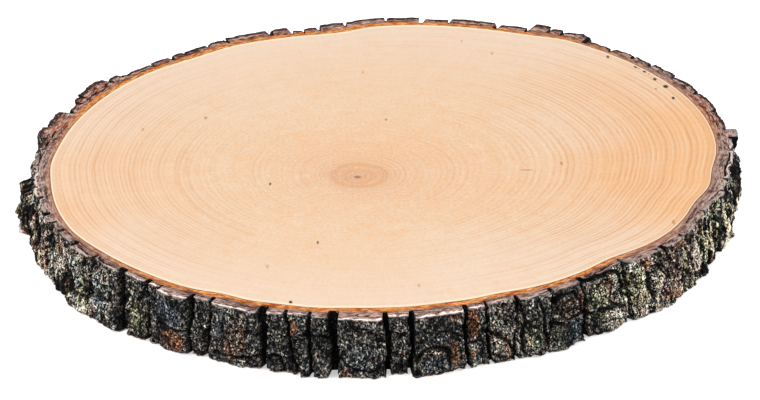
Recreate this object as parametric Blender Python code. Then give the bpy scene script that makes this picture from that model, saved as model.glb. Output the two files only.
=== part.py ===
"""A slice sawn across a tree trunk, lying flat: wood, inner bark and furrowed bark, grown as one."""

import math
from collections import namedtuple

import bmesh
import bpy
import numpy as np

NAME = "wood_slice"
MM = 0.001

# Driving sizes in metres, bark included, with the widest way across along X
WIDTH = 0.302
DEPTH = 0.3015
THICKNESS = 0.024
PITH = (-0.0098, -0.0238)  # where the rings start, seen from above

# Azimuths are degrees from +X, counterclockwise from above. Bark is measured in mm outwards from the wood.
WOOD_EDGE = (
    (0, 140.1), (12, 143.3), (25, 145.9), (36, 147.6), (50, 149.6), (56, 150.2), (62, 147.3), (74, 145.2),
    (86, 142.8), (92, 140.1), (97, 135.6), (109, 134.8), (120, 135.2), (128, 133.4), (140, 134.4),
    (164, 134.4), (178, 135.8), (185, 137.5), (190, 138.0), (206, 141.8), (211, 142.9), (220, 142.8),
    (230, 143.1), (240, 143.2), (245, 141.6), (249, 142.5), (254, 142.0), (260, 141.8), (265, 140.4),
    (270, 139.7), (275, 139.0), (279, 137.8), (284, 137.0), (289, 135.5), (296, 135.7), (305, 134.3),
    (312, 132.5), (320, 135.1), (326, 136.2), (332, 136.0), (340, 135.3), (346, 137.5), (354, 137.8),
)

# Each plate of bark: where its furrow opens at the top, how far the furrow leans by the bottom (degrees),
# how thick the bark is at the top and at the bottom, and how wide the furrow is (mm)
Plate = namedtuple("Plate", "start lean top bottom furrow")
PLATES = [
    Plate(*row)
    for row in (
        (1.6, 0.8, 7.6, 9.4, 1.0), (6.1, 0.4, 10.4, 9.4, 1.0), (9.9, 0.5, 6.7, 7.8, 1.2),
        (17.4, -0.8, 8.0, 7.8, 0.8), (24.8, 0.6, 7.5, 8.0, 1.0), (32.2, 0.5, 8.2, 8.8, 0.8),
        (38.2, -0.6, 6.6, 7.4, 1.0), (42.5, 0.4, 6.8, 7.6, 0.8), (47.2, 0.8, 5.2, 7.0, 0.9),
        (52.9, -0.5, 8.8, 9.4, 1.2), (57.9, 0.4, 10.6, 9.8, 0.6), (60.5, 0.3, 13.4, 10.8, 0.6),
        (63.8, 0.4, 7.2, 8.2, 1.4), (69.2, -0.7, 8.6, 8.6, 1.8), (77.8, 0.3, 7.0, 8.0, 0.6),
        (82.7, 0.5, 8.8, 7.2, 1.8), (89.1, 0.6, 10.0, 8.2, 0.8), (96.6, -0.4, 11.0, 9.8, 0.8),
        (101.6, 0.5, 8.4, 9.2, 0.8), (104.8, -0.6, 6.8, 8.0, 0.6), (107.0, 0.4, 9.4, 9.0, 1.0),
        (111.0, 0.4, 10.0, 9.0, 1.4), (119.6, 0.7, 8.2, 8.2, 1.0), (124.0, -0.5, 8.8, 8.0, 0.8),
        (129.2, 0.4, 8.6, 7.8, 0.6), (132.4, 0.5, 8.2, 7.6, 1.0), (137.0, 0.3, 6.9, 7.2, 0.9),
        (144.4, 0.3, 8.8, 8.4, 0.6), (147.2, 0.4, 12.4, 10.4, 0.9), (155.4, -0.6, 9.6, 9.2, 0.6),
        (158.0, 0.6, 7.4, 8.8, 1.0), (162.4, 0.5, 11.0, 9.8, 1.4), (169.1, 0.4, 12.0, 10.2, 0.8),
        (173.7, 0.5, 8.8, 9.4, 0.9), (180.4, 0.4, 8.0, 9.8, 1.2), (184.6, 0.3, 7.0, 10.4, 0.9),
        (187.6, 0.4, 7.0, 10.0, 0.9), (193.2, -0.5, 7.4, 9.6, 1.0), (197.4, 0.4, 5.8, 9.8, 1.2),
        (203.4, 0.5, 6.6, 9.0, 1.6), (206.8, -0.4, 4.8, 8.4, 1.0), (210.0, 0.4, 5.6, 8.6, 1.2),
        (214.9, 0.6, 8.0, 10.2, 1.8), (221.0, 0.5, 6.6, 10.6, 1.0), (227.3, 1.8, 5.4, 8.4, 2.4),
        (232.8, 0.8, 6.2, 7.6, 1.4), (235.4, 0.6, 9.0, 9.6, 1.0), (241.2, 0.2, 7.2, 8.8, 1.4),
        (244.4, -0.5, 9.0, 9.2, 1.2), (252.5, 0.8, 7.8, 9.6, 2.0), (255.9, 2.2, 6.8, 10.2, 0.8),
        (259.5, 0.4, 7.8, 10.4, 0.9), (263.0, 0.4, 10.4, 10.2, 2.8), (270.7, 0.6, 7.4, 8.2, 1.4),
        (274.5, 0.0, 10.4, 11.1, 1.3), (282.7, -0.1, 7.4, 10.2, 1.4), (286.1, 0.4, 6.8, 11.8, 0.9),
        (291.3, -0.6, 7.8, 10.8, 0.9), (297.2, -1.2, 6.6, 10.0, 1.1), (303.3, 0.6, 5.4, 10.0, 2.0),
        (312.8, 0.5, 7.4, 11.0, 1.2), (321.4, 2.0, 7.2, 9.8, 1.4), (326.7, 0.5, 6.9, 9.2, 0.9),
        (332.4, 0.4, 6.3, 9.2, 0.9), (336.6, -0.4, 6.6, 10.0, 0.8), (341.0, 0.5, 7.4, 10.0, 1.0),
        (345.4, -0.4, 6.8, 10.2, 1.0), (350.0, 0.6, 7.2, 10.4, 1.2), (356.6, -0.5, 7.4, 10.2, 1.0),
    )
]

# Scales that stand out from a plate: azimuth (degrees), then height, half width, half height and rise (mm)
Scale = namedtuple("Scale", "azimuth height half_width half_height rise")
FRONT_SCALES = [
    Scale(*row)
    for row in (
        (276.9, 5.4, 6.0, 6.8, 1.7), (300.3, 17.0, 6.2, 6.0, 1.8), (299.6, 4.8, 5.4, 4.6, 1.0),
        (308.9, 5.0, 6.2, 6.0, 1.2), (261.2, 6.4, 3.6, 6.6, 0.6), (238.3, 15.0, 6.2, 8.6, 1.2),
        (248.8, 12.0, 7.4, 8.8, 0.9), (267.8, 8.0, 6.0, 9.6, 0.7), (359.2, 13.0, 13.0, 8.6, 2.0),
        (190.8, 12.6, 13.0, 8.2, 4.4), (294.2, 7.0, 5.6, 6.4, 0.6), (317.0, 13.0, 8.0, 8.0, 1.0),
    )
]
BACK_AZIMUTHS = (12.0, 152.0)
BACK_SCALE_COUNT = 14
SCALE_SEED = 3

SCALE_EDGE = (0.8, 1.25)  # a scale's edge falls away between these shares of its half sizes

MIDDLE_RADIUS = 147.0  # mm, about the middle of the furrows, for turning degrees into mm

# Furrows stop at the soft inner bark. Their walls are steep and they wander a little as they go down.
INNER_BARK = 2.6
FURROW_DEPTH = (1.8, 1.3)  # mm, and mm more for each mm of width
FURROW_FLOOR = 0.6  # share of the width that is flat
WALL = 0.9
WANDER = 0.9
WANDER_TURNS = (0.5, 1.1)
WANDER_SEED = 11

# Plates break across, and their faces are crowned and lumpy
BREAK_DROP = 1.3
BREAK_HEIGHTS = (6.0, 18.0)
BREAK_RAMP = 1.6
BREAK_SEED = 5
CROWN = 0.9
LUMP_RISE = 0.7
LUMP_CELLS = (110, 5)
LUMP_SEED = 8

COLUMN_STEP = 2.3
STRIPS = 8
BLANK_RIM = 0.1  # width of the rim on the unit cylinder that the slice is shaped from

WOOD_COLOUR = (0.90, 0.69, 0.45)
INNER_BARK_COLOUR = (0.28, 0.20, 0.165)
BARK_COLOUR = (0.045, 0.043, 0.038)


def smooth_step(low, high, value):
    share = np.clip((value - low) / (high - low), 0.0, 1.0)
    return share * share * (3.0 - 2.0 * share)


def wood_radius(azimuth):
    """Radius of the wood in mm: a smooth closed curve through WOOD_EDGE."""
    at, radius = np.array(WOOD_EDGE, float).T
    at = np.concatenate([at[-2:] - 360, at, at[:3] + 360])
    radius = np.concatenate([radius[-2:], radius, radius[:3]])
    slope = np.gradient(radius, at)
    azimuth = np.asarray(azimuth) % 360
    i = np.searchsorted(at, azimuth, side="right") - 1
    span = at[i + 1] - at[i]
    t = (azimuth - at[i]) / span
    rise = radius[i + 1] - radius[i]
    bend = (slope[i] * span - rise) * (1 - t) - (slope[i + 1] * span - rise) * t
    return radius[i] + t * rise + t * (1 - t) * bend


def lumps(azimuth, height):
    """Smooth noise from -1 to 1 over the side of the slice, closed round the trunk."""
    across, up = LUMP_CELLS
    knots = np.random.default_rng(LUMP_SEED).uniform(-1, 1, (up + 2, across))
    u = azimuth % 360 / 360 * across
    v = height / (THICKNESS / MM) * up
    i, j = np.floor(u).astype(int), np.floor(v).astype(int)
    s, t = smooth_step(0, 1, u - i), smooth_step(0, 1, v - j)
    low = knots[j, i % across] * (1 - s) + knots[j, (i + 1) % across] * s
    high = knots[j + 1, i % across] * (1 - s) + knots[j + 1, (i + 1) % across] * s
    return low * (1 - t) + high * t


def all_scales():
    """The scales seen from the front, and those of the back, drawn from a seed."""
    draw = np.random.default_rng(SCALE_SEED)
    step = (BACK_AZIMUTHS[1] - BACK_AZIMUTHS[0]) / BACK_SCALE_COUNT
    back = [
        Scale(
            azimuth=BACK_AZIMUTHS[0] + (k + draw.uniform(0.2, 0.8)) * step,
            height=draw.uniform(5, 19),
            half_width=draw.uniform(3.5, 7.5),
            half_height=draw.uniform(4.0, 8.0),
            rise=draw.uniform(0.8, 1.9),
        )
        for k in range(BACK_SCALE_COUNT)
    ]
    return FRONT_SCALES + back


def furrow_azimuth(plate, height):
    """Where the furrow at the start of each plate runs, at a height in mm."""
    draw = np.random.default_rng(WANDER_SEED)
    phase = draw.uniform(0, 2 * math.pi, len(PLATES))
    turns = draw.uniform(*WANDER_TURNS, len(PLATES))
    start, lean = np.array([(p.start, p.lean) for p in PLATES]).T
    down = 1 - height / (THICKNESS / MM)
    wander = WANDER * np.sin(phase[plate] + 2 * math.pi * turns[plate] * down) * down
    return start[plate] + lean[plate] * down + np.degrees(wander / MIDDLE_RADIUS)


def thickness_of(plate, height):
    """Bark thickness of each plate's face in mm, with its break across."""
    draw = np.random.default_rng(BREAK_SEED)
    at = draw.uniform(*BREAK_HEIGHTS, len(PLATES))
    drop = draw.uniform(-1, 1, len(PLATES)) * BREAK_DROP
    top, bottom = np.array([(p.top, p.bottom) for p in PLATES]).T
    share = height / (THICKNESS / MM)
    step = drop[plate] * (smooth_step(-BREAK_RAMP, BREAK_RAMP, height - at[plate]) - share)
    return bottom[plate] + (top - bottom)[plate] * share + step


def bark_surface(plate, share, height):
    """Azimuth and bark thickness of points a share of the way across their plates, at heights in mm."""
    after = (plate + 1) % len(PLATES)
    before = (plate - 1) % len(PLATES)
    start = furrow_azimuth(plate, height)
    width = (furrow_azimuth(after, height) - start) % 360
    azimuth = start + share * width
    mm_per_degree = math.radians(1) * MIDDLE_RADIUS

    face = thickness_of(plate, height)
    face = face - CROWN * np.abs(2 * share - 1) ** 3
    face = face + LUMP_RISE * lumps(azimuth, height)
    for scale in all_scales():
        across = ((azimuth - scale.azimuth + 180) % 360 - 180) * mm_per_degree / scale.half_width
        up = (height - scale.height) / scale.half_height
        face = face + scale.rise * (1 - smooth_step(*SCALE_EDGE, (across**4 + up**4) ** 0.25))

    furrow = np.array([p.furrow for p in PLATES])
    level = face
    for side, neighbour, reach in ((plate, before, share), (after, after, 1 - share)):
        depth = FURROW_DEPTH[0] + FURROW_DEPTH[1] * furrow[side]
        floor = np.minimum(thickness_of(plate, height), thickness_of(neighbour, height)) - depth
        floor = np.maximum(floor, INNER_BARK)
        open_half = furrow[side] / 2
        gap = reach * width * mm_per_degree
        rise = smooth_step(FURROW_FLOOR * open_half, open_half + WALL, gap)
        level = np.minimum(level, floor + np.maximum(face - floor, 0) * rise)
    return azimuth, level


def columns():
    """The mesh's vertical lines: plate and share of the way across it, closest at the furrow walls."""
    plates, shares = [], []
    for i, plate in enumerate(PLATES):
        after = PLATES[(i + 1) % len(PLATES)]
        width = math.radians((after.start - plate.start) % 360) * MIDDLE_RADIUS
        before_half, after_half = plate.furrow / 2, after.furrow / 2
        first, last = before_half + WALL, width - after_half - WALL
        inner = np.linspace(first, last, max(2, round((last - first) / COLUMN_STEP) + 1))
        floors = FURROW_FLOOR * before_half, width - FURROW_FLOOR * after_half
        across = np.array([floors[0], *inner, floors[1]])
        plates += [i] * len(across)
        shares += list(across / width)
    return np.array(plates), np.array(shares)


def ring_blank(count):
    """A unit cylinder with its side cut into strips and each cap into a rim and a fan."""
    blank = bmesh.new()
    bmesh.ops.create_cone(blank, cap_ends=True, segments=count, radius1=1, radius2=1, depth=1)
    upright = [e for e in blank.edges if abs(e.verts[0].co.z - e.verts[1].co.z) > 0.5]
    bmesh.ops.subdivide_edges(blank, edges=upright, cuts=STRIPS - 1, use_grid_fill=True)
    caps = [f for f in blank.faces if abs(f.normal.z) > 0.5]
    bmesh.ops.inset_individual(blank, faces=caps, thickness=BLANK_RIM)
    fans = [f for f in blank.faces if len(f.verts) == count]
    bmesh.ops.poke(blank, faces=fans)
    return blank


def shape_slice(blank, plates, shares):
    """Moves the blank's points onto the bark, the wood's edge and the pith."""
    points = np.array([v.co for v in blank.verts])
    reach = np.hypot(points[:, 0], points[:, 1])
    turn = np.arctan2(points[:, 1], points[:, 0]) - math.pi / 2
    column = np.round(turn / (2 * math.pi) * len(plates)).astype(int) % len(plates)
    height = np.round((points[:, 2] + 0.5) * STRIPS) / STRIPS * THICKNESS / MM
    azimuth, bark = bark_surface(plates[column], shares[column], height)
    wood = wood_radius(azimuth)
    radius = np.where(reach > 1 - BLANK_RIM / 2, wood + bark, wood) * MM
    x = radius * np.cos(np.radians(azimuth))
    y = radius * np.sin(np.radians(azimuth))
    at_pith = reach < 0.01
    x[at_pith], y[at_pith] = PITH
    x = (x - (x.max() + x.min()) / 2) * WIDTH / (x.max() - x.min())
    y = (y - (y.max() + y.min()) / 2) * DEPTH / (y.max() - y.min())
    for vertex, place in zip(blank.verts, zip(x, y, height * MM)):
        vertex.co = place


def material(name, colour, roughness):
    made = bpy.data.materials.new(name)
    made.use_nodes = True
    shader = made.node_tree.nodes["Principled BSDF"]
    shader.inputs["Base Color"].default_value = (*colour, 1)
    shader.inputs["Roughness"].default_value = roughness
    shader.inputs["Metallic"].default_value = 0
    return made


def finish_faces(blank):
    """Wood on the fans, inner bark on the rims, bark on the side, which is shaded smooth."""
    for face in blank.faces:
        flat = abs(face.normal.z) > 0.99
        face.material_index = (0 if len(face.verts) == 3 else 1) if flat else 2
        face.smooth = not flat


def clear_scene():
    for item in list(bpy.data.objects):
        bpy.data.objects.remove(item)


def main():
    clear_scene()
    plates, shares = columns()
    blank = ring_blank(len(plates))
    shape_slice(blank, plates, shares)
    blank.normal_update()
    finish_faces(blank)
    bmesh.ops.triangulate(blank, faces=blank.faces)
    mesh = bpy.data.meshes.new(NAME)
    blank.to_mesh(mesh)
    blank.free()
    mesh.materials.append(material("wood", WOOD_COLOUR, 0.55))
    mesh.materials.append(material("inner_bark", INNER_BARK_COLOUR, 0.85))
    mesh.materials.append(material("bark", BARK_COLOUR, 0.9))
    collection = bpy.data.collections.new(NAME)
    bpy.context.scene.collection.children.link(collection)
    collection.objects.link(bpy.data.objects.new(NAME, mesh))


main()
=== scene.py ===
"""A slice sawn across a tree trunk: pale ringed wood, brown inner bark and dark furrowed plates of bark."""

import math
from collections import namedtuple

import bpy
import numpy as np
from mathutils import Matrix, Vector


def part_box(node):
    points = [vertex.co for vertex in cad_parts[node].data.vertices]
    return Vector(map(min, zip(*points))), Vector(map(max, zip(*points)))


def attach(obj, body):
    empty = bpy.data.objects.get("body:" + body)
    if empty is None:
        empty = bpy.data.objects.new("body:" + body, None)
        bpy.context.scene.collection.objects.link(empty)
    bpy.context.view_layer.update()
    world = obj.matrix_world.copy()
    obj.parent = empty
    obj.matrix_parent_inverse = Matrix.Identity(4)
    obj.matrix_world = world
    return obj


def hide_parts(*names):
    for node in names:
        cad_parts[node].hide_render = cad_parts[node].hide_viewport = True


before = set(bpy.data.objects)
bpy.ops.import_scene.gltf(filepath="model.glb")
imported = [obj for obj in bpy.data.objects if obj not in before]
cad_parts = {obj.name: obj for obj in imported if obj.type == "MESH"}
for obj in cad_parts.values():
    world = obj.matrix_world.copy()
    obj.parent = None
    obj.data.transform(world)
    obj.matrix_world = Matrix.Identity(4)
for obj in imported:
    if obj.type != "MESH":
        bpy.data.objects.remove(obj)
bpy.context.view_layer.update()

MM = 0.001
NODE = "wood_slice"
BODY = "root"

# The camera, at the photograph's angle, the lights and the floor, in metres
CAMERA_AIM = (-0.00145, -0.04525, 0.024)
CAMERA_DISTANCE = 1.2
CAMERA_PITCH = 25.5
CAMERA_LENS = 140.6
LIGHTS = (("key", (-1.2, -0.6, 1.7), 1.0, 22), ("fill", (1.6, -0.5, 1.1), 0.8, 14))  # and size, power
SKY = 0.75
FLOOR_COLOUR = (0.95, 0.95, 0.95)
FLOOR_GLOW = 0.42
FLOOR_HALF = 6.0
FLOOR_GAP = 0.0003  # so that the floor and the underside don't coincide

# How brightly the sawn face and the bark's side are lit: their seen colours are divided by these
FACE_LIGHT = 1.25
SIDE_LIGHT = 0.85

# Lengths are in mm, and azimuths are degrees from +X, counterclockwise from above
THICKNESS = (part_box(NODE)[1][2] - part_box(NODE)[0][2]) / MM
PITH = (-9.8, -23.8)
# The outline's extremes as measured, which the solid centres and fits to its size
OUTLINE_LOW = (-150.1, -151.4)
OUTLINE_HIGH = (152.1, 151.2)
WOOD_EDGE = (
    (0, 140.1), (12, 143.3), (25, 145.9), (36, 147.6), (50, 149.6), (56, 150.2), (62, 147.3), (74, 145.2),
    (86, 142.8), (92, 140.1), (97, 135.6), (109, 134.8), (120, 135.2), (128, 133.4), (140, 134.4),
    (164, 134.4), (178, 135.8), (185, 137.5), (190, 138.0), (206, 141.8), (211, 142.9), (220, 142.8),
    (230, 143.1), (240, 143.2), (245, 141.6), (249, 142.5), (254, 142.0), (260, 141.8), (265, 140.4),
    (270, 139.7), (275, 139.0), (279, 137.8), (284, 137.0), (289, 135.5), (296, 135.7), (305, 134.3),
    (312, 132.5), (320, 135.1), (326, 136.2), (332, 136.0), (340, 135.3), (346, 137.5), (354, 137.8),
)

# Each plate of bark: where its furrow opens at the top, how far the furrow leans by the bottom (degrees),
# how thick the bark is at the top and at the bottom, and how wide the furrow is
Plate = namedtuple("Plate", "start lean top bottom furrow")
PLATES = [
    Plate(*row)
    for row in (
        (1.6, 0.8, 7.6, 9.4, 1.0), (6.1, 0.4, 10.4, 9.4, 1.0), (9.9, 0.5, 6.7, 7.8, 1.2),
        (17.4, -0.8, 8.0, 7.8, 0.8), (24.8, 0.6, 7.5, 8.0, 1.0), (32.2, 0.5, 8.2, 8.8, 0.8),
        (38.2, -0.6, 6.6, 7.4, 1.0), (42.5, 0.4, 6.8, 7.6, 0.8), (47.2, 0.8, 5.2, 7.0, 0.9),
        (52.9, -0.5, 8.8, 9.4, 1.2), (57.9, 0.4, 10.6, 9.8, 0.6), (60.5, 0.3, 13.4, 10.8, 0.6),
        (63.8, 0.4, 7.2, 8.2, 1.4), (69.2, -0.7, 8.6, 8.6, 1.8), (77.8, 0.3, 7.0, 8.0, 0.6),
        (82.7, 0.5, 8.8, 7.2, 1.8), (89.1, 0.6, 10.0, 8.2, 0.8), (96.6, -0.4, 11.0, 9.8, 0.8),
        (101.6, 0.5, 8.4, 9.2, 0.8), (104.8, -0.6, 6.8, 8.0, 0.6), (107.0, 0.4, 9.4, 9.0, 1.0),
        (111.0, 0.4, 10.0, 9.0, 1.4), (119.6, 0.7, 8.2, 8.2, 1.0), (124.0, -0.5, 8.8, 8.0, 0.8),
        (129.2, 0.4, 8.6, 7.8, 0.6), (132.4, 0.5, 8.2, 7.6, 1.0), (137.0, 0.3, 6.9, 7.2, 0.9),
        (144.4, 0.3, 8.8, 8.4, 0.6), (147.2, 0.4, 12.4, 10.4, 0.9), (155.4, -0.6, 9.6, 9.2, 0.6),
        (158.0, 0.6, 7.4, 8.8, 1.0), (162.4, 0.5, 11.0, 9.8, 1.4), (169.1, 0.4, 12.0, 10.2, 0.8),
        (173.7, 0.5, 8.8, 9.4, 0.9), (180.4, 0.4, 8.0, 9.8, 1.2), (184.6, 0.3, 7.0, 10.4, 0.9),
        (187.6, 0.4, 7.0, 10.0, 0.9), (193.2, -0.5, 7.4, 9.6, 1.0), (197.4, 0.4, 5.8, 9.8, 1.2),
        (203.4, 0.5, 6.6, 9.0, 1.6), (206.8, -0.4, 4.8, 8.4, 1.0), (210.0, 0.4, 5.6, 8.6, 1.2),
        (214.9, 0.6, 8.0, 10.2, 1.8), (221.0, 0.5, 6.6, 10.6, 1.0), (227.3, 1.8, 5.4, 8.4, 2.4),
        (232.8, 0.8, 6.2, 7.6, 1.4), (235.4, 0.6, 9.0, 9.6, 1.0), (241.2, 0.2, 7.2, 8.8, 1.4),
        (244.4, -0.5, 9.0, 9.2, 1.2), (252.5, 0.8, 7.8, 9.6, 2.0), (255.9, 2.2, 6.8, 10.2, 0.8),
        (259.5, 0.4, 7.8, 10.4, 0.9), (263.0, 0.4, 10.4, 10.2, 2.8), (270.7, 0.6, 7.4, 8.2, 1.4),
        (274.5, 0.0, 10.4, 11.1, 1.3), (282.7, -0.1, 7.4, 10.2, 1.4), (286.1, 0.4, 6.8, 11.8, 0.9),
        (291.3, -0.6, 7.8, 10.8, 0.9), (297.2, -1.2, 6.6, 10.0, 1.1), (303.3, 0.6, 5.4, 10.0, 2.0),
        (312.8, 0.5, 7.4, 11.0, 1.2), (321.4, 2.0, 7.2, 9.8, 1.4), (326.7, 0.5, 6.9, 9.2, 0.9),
        (332.4, 0.4, 6.3, 9.2, 0.9), (336.6, -0.4, 6.6, 10.0, 0.8), (341.0, 0.5, 7.4, 10.0, 1.0),
        (345.4, -0.4, 6.8, 10.2, 1.0), (350.0, 0.6, 7.2, 10.4, 1.2), (356.6, -0.5, 7.4, 10.2, 1.0),
    )
]

# Scales that stand out from a plate
Scale = namedtuple("Scale", "azimuth height half_width half_height rise")
FRONT_SCALES = [
    Scale(*row)
    for row in (
        (276.9, 5.4, 6.0, 6.8, 1.7), (300.3, 17.0, 6.2, 6.0, 1.8), (299.6, 4.8, 5.4, 4.6, 1.0),
        (308.9, 5.0, 6.2, 6.0, 1.2), (261.2, 6.4, 3.6, 6.6, 0.6), (238.3, 15.0, 6.2, 8.6, 1.2),
        (248.8, 12.0, 7.4, 8.8, 0.9), (267.8, 8.0, 6.0, 9.6, 0.7), (359.2, 13.0, 13.0, 8.6, 2.0),
        (190.8, 12.6, 13.0, 8.2, 4.4), (294.2, 7.0, 5.6, 6.4, 0.6), (317.0, 13.0, 8.0, 8.0, 1.0),
    )
]
BACK_AZIMUTHS = (12.0, 152.0)
BACK_SCALE_COUNT = 14
BACK_SCALE = ((5, 19), (3.5, 7.5), (4.0, 8.0), (0.8, 1.9))  # between what the rest of each one is drawn
SCALE_SEED = 3
SCALE_EDGE = (0.92, 1.1)  # a scale's edge falls away between these shares of its half sizes
MIDDLE_RADIUS = 147.0  # about the middle of the furrows, for turning degrees into mm
MM_PER_DEGREE = math.radians(1) * MIDDLE_RADIUS

# Furrows stop at the soft inner bark. Their walls are steep and they wander a little as they go down.
INNER_BARK = 2.6
FURROW_DEPTH = (1.8, 1.3)  # and more for each mm of width
FURROW_FLOOR = 1.1  # the floor is flat out to this share of the half width
WALL = 0.25  # and the wall ends this far beyond the half width
FLOOR_RELIEF = 0.3  # share of the plates' relief that the floor has
FURROW_GAPE = 0.35  # share by which the width varies on the way down
MOUTH = (0.1, 0.5)  # furrows open wider at the top, by a share between these
MOUTH_HEIGHTS = (14.0, 21.5)
MOUTH_SEED = 13
SHALLOW = 0.55  # share of the depth that is missing at the left and the right
FURROW_FULL_SHADE = 2.6  # a furrow this deep is painted black as full shade
WANDER = 0.9
WANDER_TURNS = (0.5, 1.1)
WANDER_SEED = 11

# Plates break across, and their faces are crowned and lumpy
BREAK_DROP = 1.3
BREAK_HEIGHTS = (6.0, 18.0)
BREAK_RAMP = 0.5
BREAK_SEED = 5
CROWN = 0.6
LUMP_RISE = 0.55
SWELL = 0.9  # bark is this much thicker behind, and at its foot in front, than at the left and the right

# How far the fine relief raises the plates, or how deep it cuts into them
FLAKE_RISE = 0.3
CHIP_RISE = 0.14
RIDGE_RISE = 0.3
FINE_RIDGE_RISE = 0.16
GRAIN_RISE = 0.22
LAYER_RISE = 0.55
LAYER_COUNT = 4
FLAKE_CRACK = 0.45
CHIP_CRACK = 0.25
CLEAN_CUT = 0.65  # share of the relief that is missing along the sawn top
CLEAN_CUT_HEIGHT = 2.5
STRIPED = 3.2  # how strongly the bark's tone is striped at the left and the right

# Noises over the bark's side: cells round the slice, cells up it, and a seed
LUMPS = (110, 5, 8)
RAGGED = (420, 11, 21)
RAGGED_UP = (380, 10, 22)
GAPE = (240, 7, 23)
FLAKES = (230, 5, 31)
CHIPS = (560, 14, 32)
RIDGES = (340, 3, 33)
FINE_RIDGES = (620, 7, 34)
GRAIN = (900, 26, 35)
LAYERS = (150, 4, 37)
FINE_LAYERS = (340, 9, 38)
STRIPES = (400, 2, 39)
BROKEN_EDGE = (300, 2, 42)
CRUMBS = (700, 2, 43)
LOST_FOOT = (96, 1, 49)
TORN = (900, 18, 24)
RAGGED_BY = 0.5
TORN_BY = 0.4
FOOT_LOSS = 0.35  # how much bark may be broken away at the foot of a plate
FOOT_HEIGHT = 4.5
EDGE_LOSS = 0.12  # and along both sawn edges, which two noises vary
EDGE_LOSS_BY = (0.22, 0.2)
EDGE_HEIGHT = 1.1

# Cracks over the front, as drawn on the bark: width and depth, then azimuth and height along each
Crack = namedtuple("Crack", "width depth path")
FRONT_CRACKS = [
    Crack(*row)
    for row in (
        (0.7, 1.6, ((258.8, 15.8), (260.4, 16.4), (262.2, 15.4))),
        (0.8, 1.6, ((253.8, 5.6), (254.4, 6.9), (255.2, 6.6), (255.8, 4.8), (256.0, 2.0))),
        (0.9, 1.5, ((275.0, 6.8), (275.9, 10.2), (277.4, 11.6), (279.0, 10.9), (280.0, 8.4), (280.2, 4.6))),
        (0.7, 1.3, (
            (296.8, 13.4), (297.2, 18.6), (298.6, 22.0), (300.6, 22.0), (301.9, 18.4), (301.9, 13.4),
        )),
        (1.0, 1.8, ((296.5, 11.0), (298.4, 10.6), (300.0, 11.8), (302.2, 12.4), (303.0, 12.0))),
        (0.6, 0.9, ((298.2, 14.6), (298.8, 18.4), (300.2, 19.4), (301.0, 16.2), (300.2, 13.6))),
        (0.9, 2.2, (
            (303.2, 22.4), (306.4, 23.0), (309.8, 22.4), (311.8, 20.2), (312.2, 15.4), (311.8, 11.0),
        )),
        (0.6, 1.1, ((306.0, 19.6), (308.4, 20.2), (310.0, 17.6), (309.6, 13.0), (308.6, 9.4))),
        (0.8, 1.4, ((304.2, 10.0), (306.6, 9.2), (309.4, 9.8), (311.6, 7.4))),
        (0.5, 0.7, ((264.4, 17.6), (266.0, 20.8), (268.0, 20.4), (269.4, 16.8), (269.4, 11.4))),
        (0.5, 0.7, ((265.4, 12.4), (267.2, 15.2), (268.6, 12.6), (268.2, 8.2), (266.2, 6.2))),
        (0.6, 0.9, ((264.2, 8.0), (265.6, 4.4), (268.2, 3.0), (269.8, 4.0))),
        (0.7, 1.2, ((285.4, 14.6), (287.2, 12.4), (289.2, 8.6), (290.2, 3.8), (290.0, 0.0))),
        (0.6, 1.1, ((283.2, 10.4), (284.6, 12.6), (285.6, 9.2), (285.2, 4.0))),
        (0.7, 1.2, ((291.8, 21.8), (292.3, 14.4), (291.7, 8.4), (291.9, 2.0))),
        (0.7, 1.2, ((294.8, 20.4), (295.7, 14.4), (295.4, 9.0), (296.0, 3.4))),
        (0.6, 0.9, ((245.2, 3.4), (247.6, 5.2), (250.0, 4.4), (252.0, 6.4))),
        (0.5, 0.8, ((247.0, 20.6), (246.8, 15.0), (248.0, 10.2), (247.6, 6.2))),
        (0.5, 0.8, ((250.4, 21.6), (250.8, 16.2), (249.8, 11.4), (250.6, 7.6))),
        (0.6, 1.0, ((235.8, 10.4), (237.4, 11.2), (239.2, 10.2), (241.0, 11.0))),
        (0.6, 1.0, ((229.2, 20.2), (230.4, 17.0), (230.5, 12.8), (229.6, 8.8))),
        (0.6, 1.0, ((231.8, 18.4), (231.6, 12.4), (232.4, 6.2))),
        (0.6, 1.0, ((216.0, 12.8), (217.8, 10.4), (220.0, 9.4), (221.2, 6.2))),
        (0.6, 0.9, ((222.6, 17.4), (224.4, 15.4), (226.4, 16.4))),
        (0.6, 1.0, ((271.2, 17.8), (272.6, 16.4), (273.9, 17.2))),
        (0.6, 1.0, ((271.4, 9.4), (272.8, 7.6), (273.2, 2.4))),
        (0.5, 0.8, ((276.0, 18.2), (278.0, 16.2), (280.2, 17.2), (281.6, 14.4))),
        (0.7, 1.2, ((316.2, 22.8), (316.8, 17.6), (316.2, 12.8), (317.6, 8.4))),
        (0.6, 1.0, ((318.8, 20.4), (320.2, 15.4), (319.6, 9.4), (320.8, 4.4))),
        (0.6, 0.9, ((256.2, 15.0), (257.6, 13.6), (258.6, 14.4))),
        (0.7, 1.1, ((205.2, 23.0), (205.8, 16.8), (205.2, 11.0), (206.0, 6.8))),
        (0.6, 1.0, ((200.8, 22.0), (201.6, 15.0), (201.0, 8.0), (202.0, 2.0))),
        (0.7, 1.2, ((189.4, 23.0), (190.0, 15.0), (189.2, 7.0), (189.8, 1.0))),
        (0.7, 1.2, ((195.4, 23.0), (196.2, 16.0), (195.6, 9.0), (196.6, 2.0))),
    )
]
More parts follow.
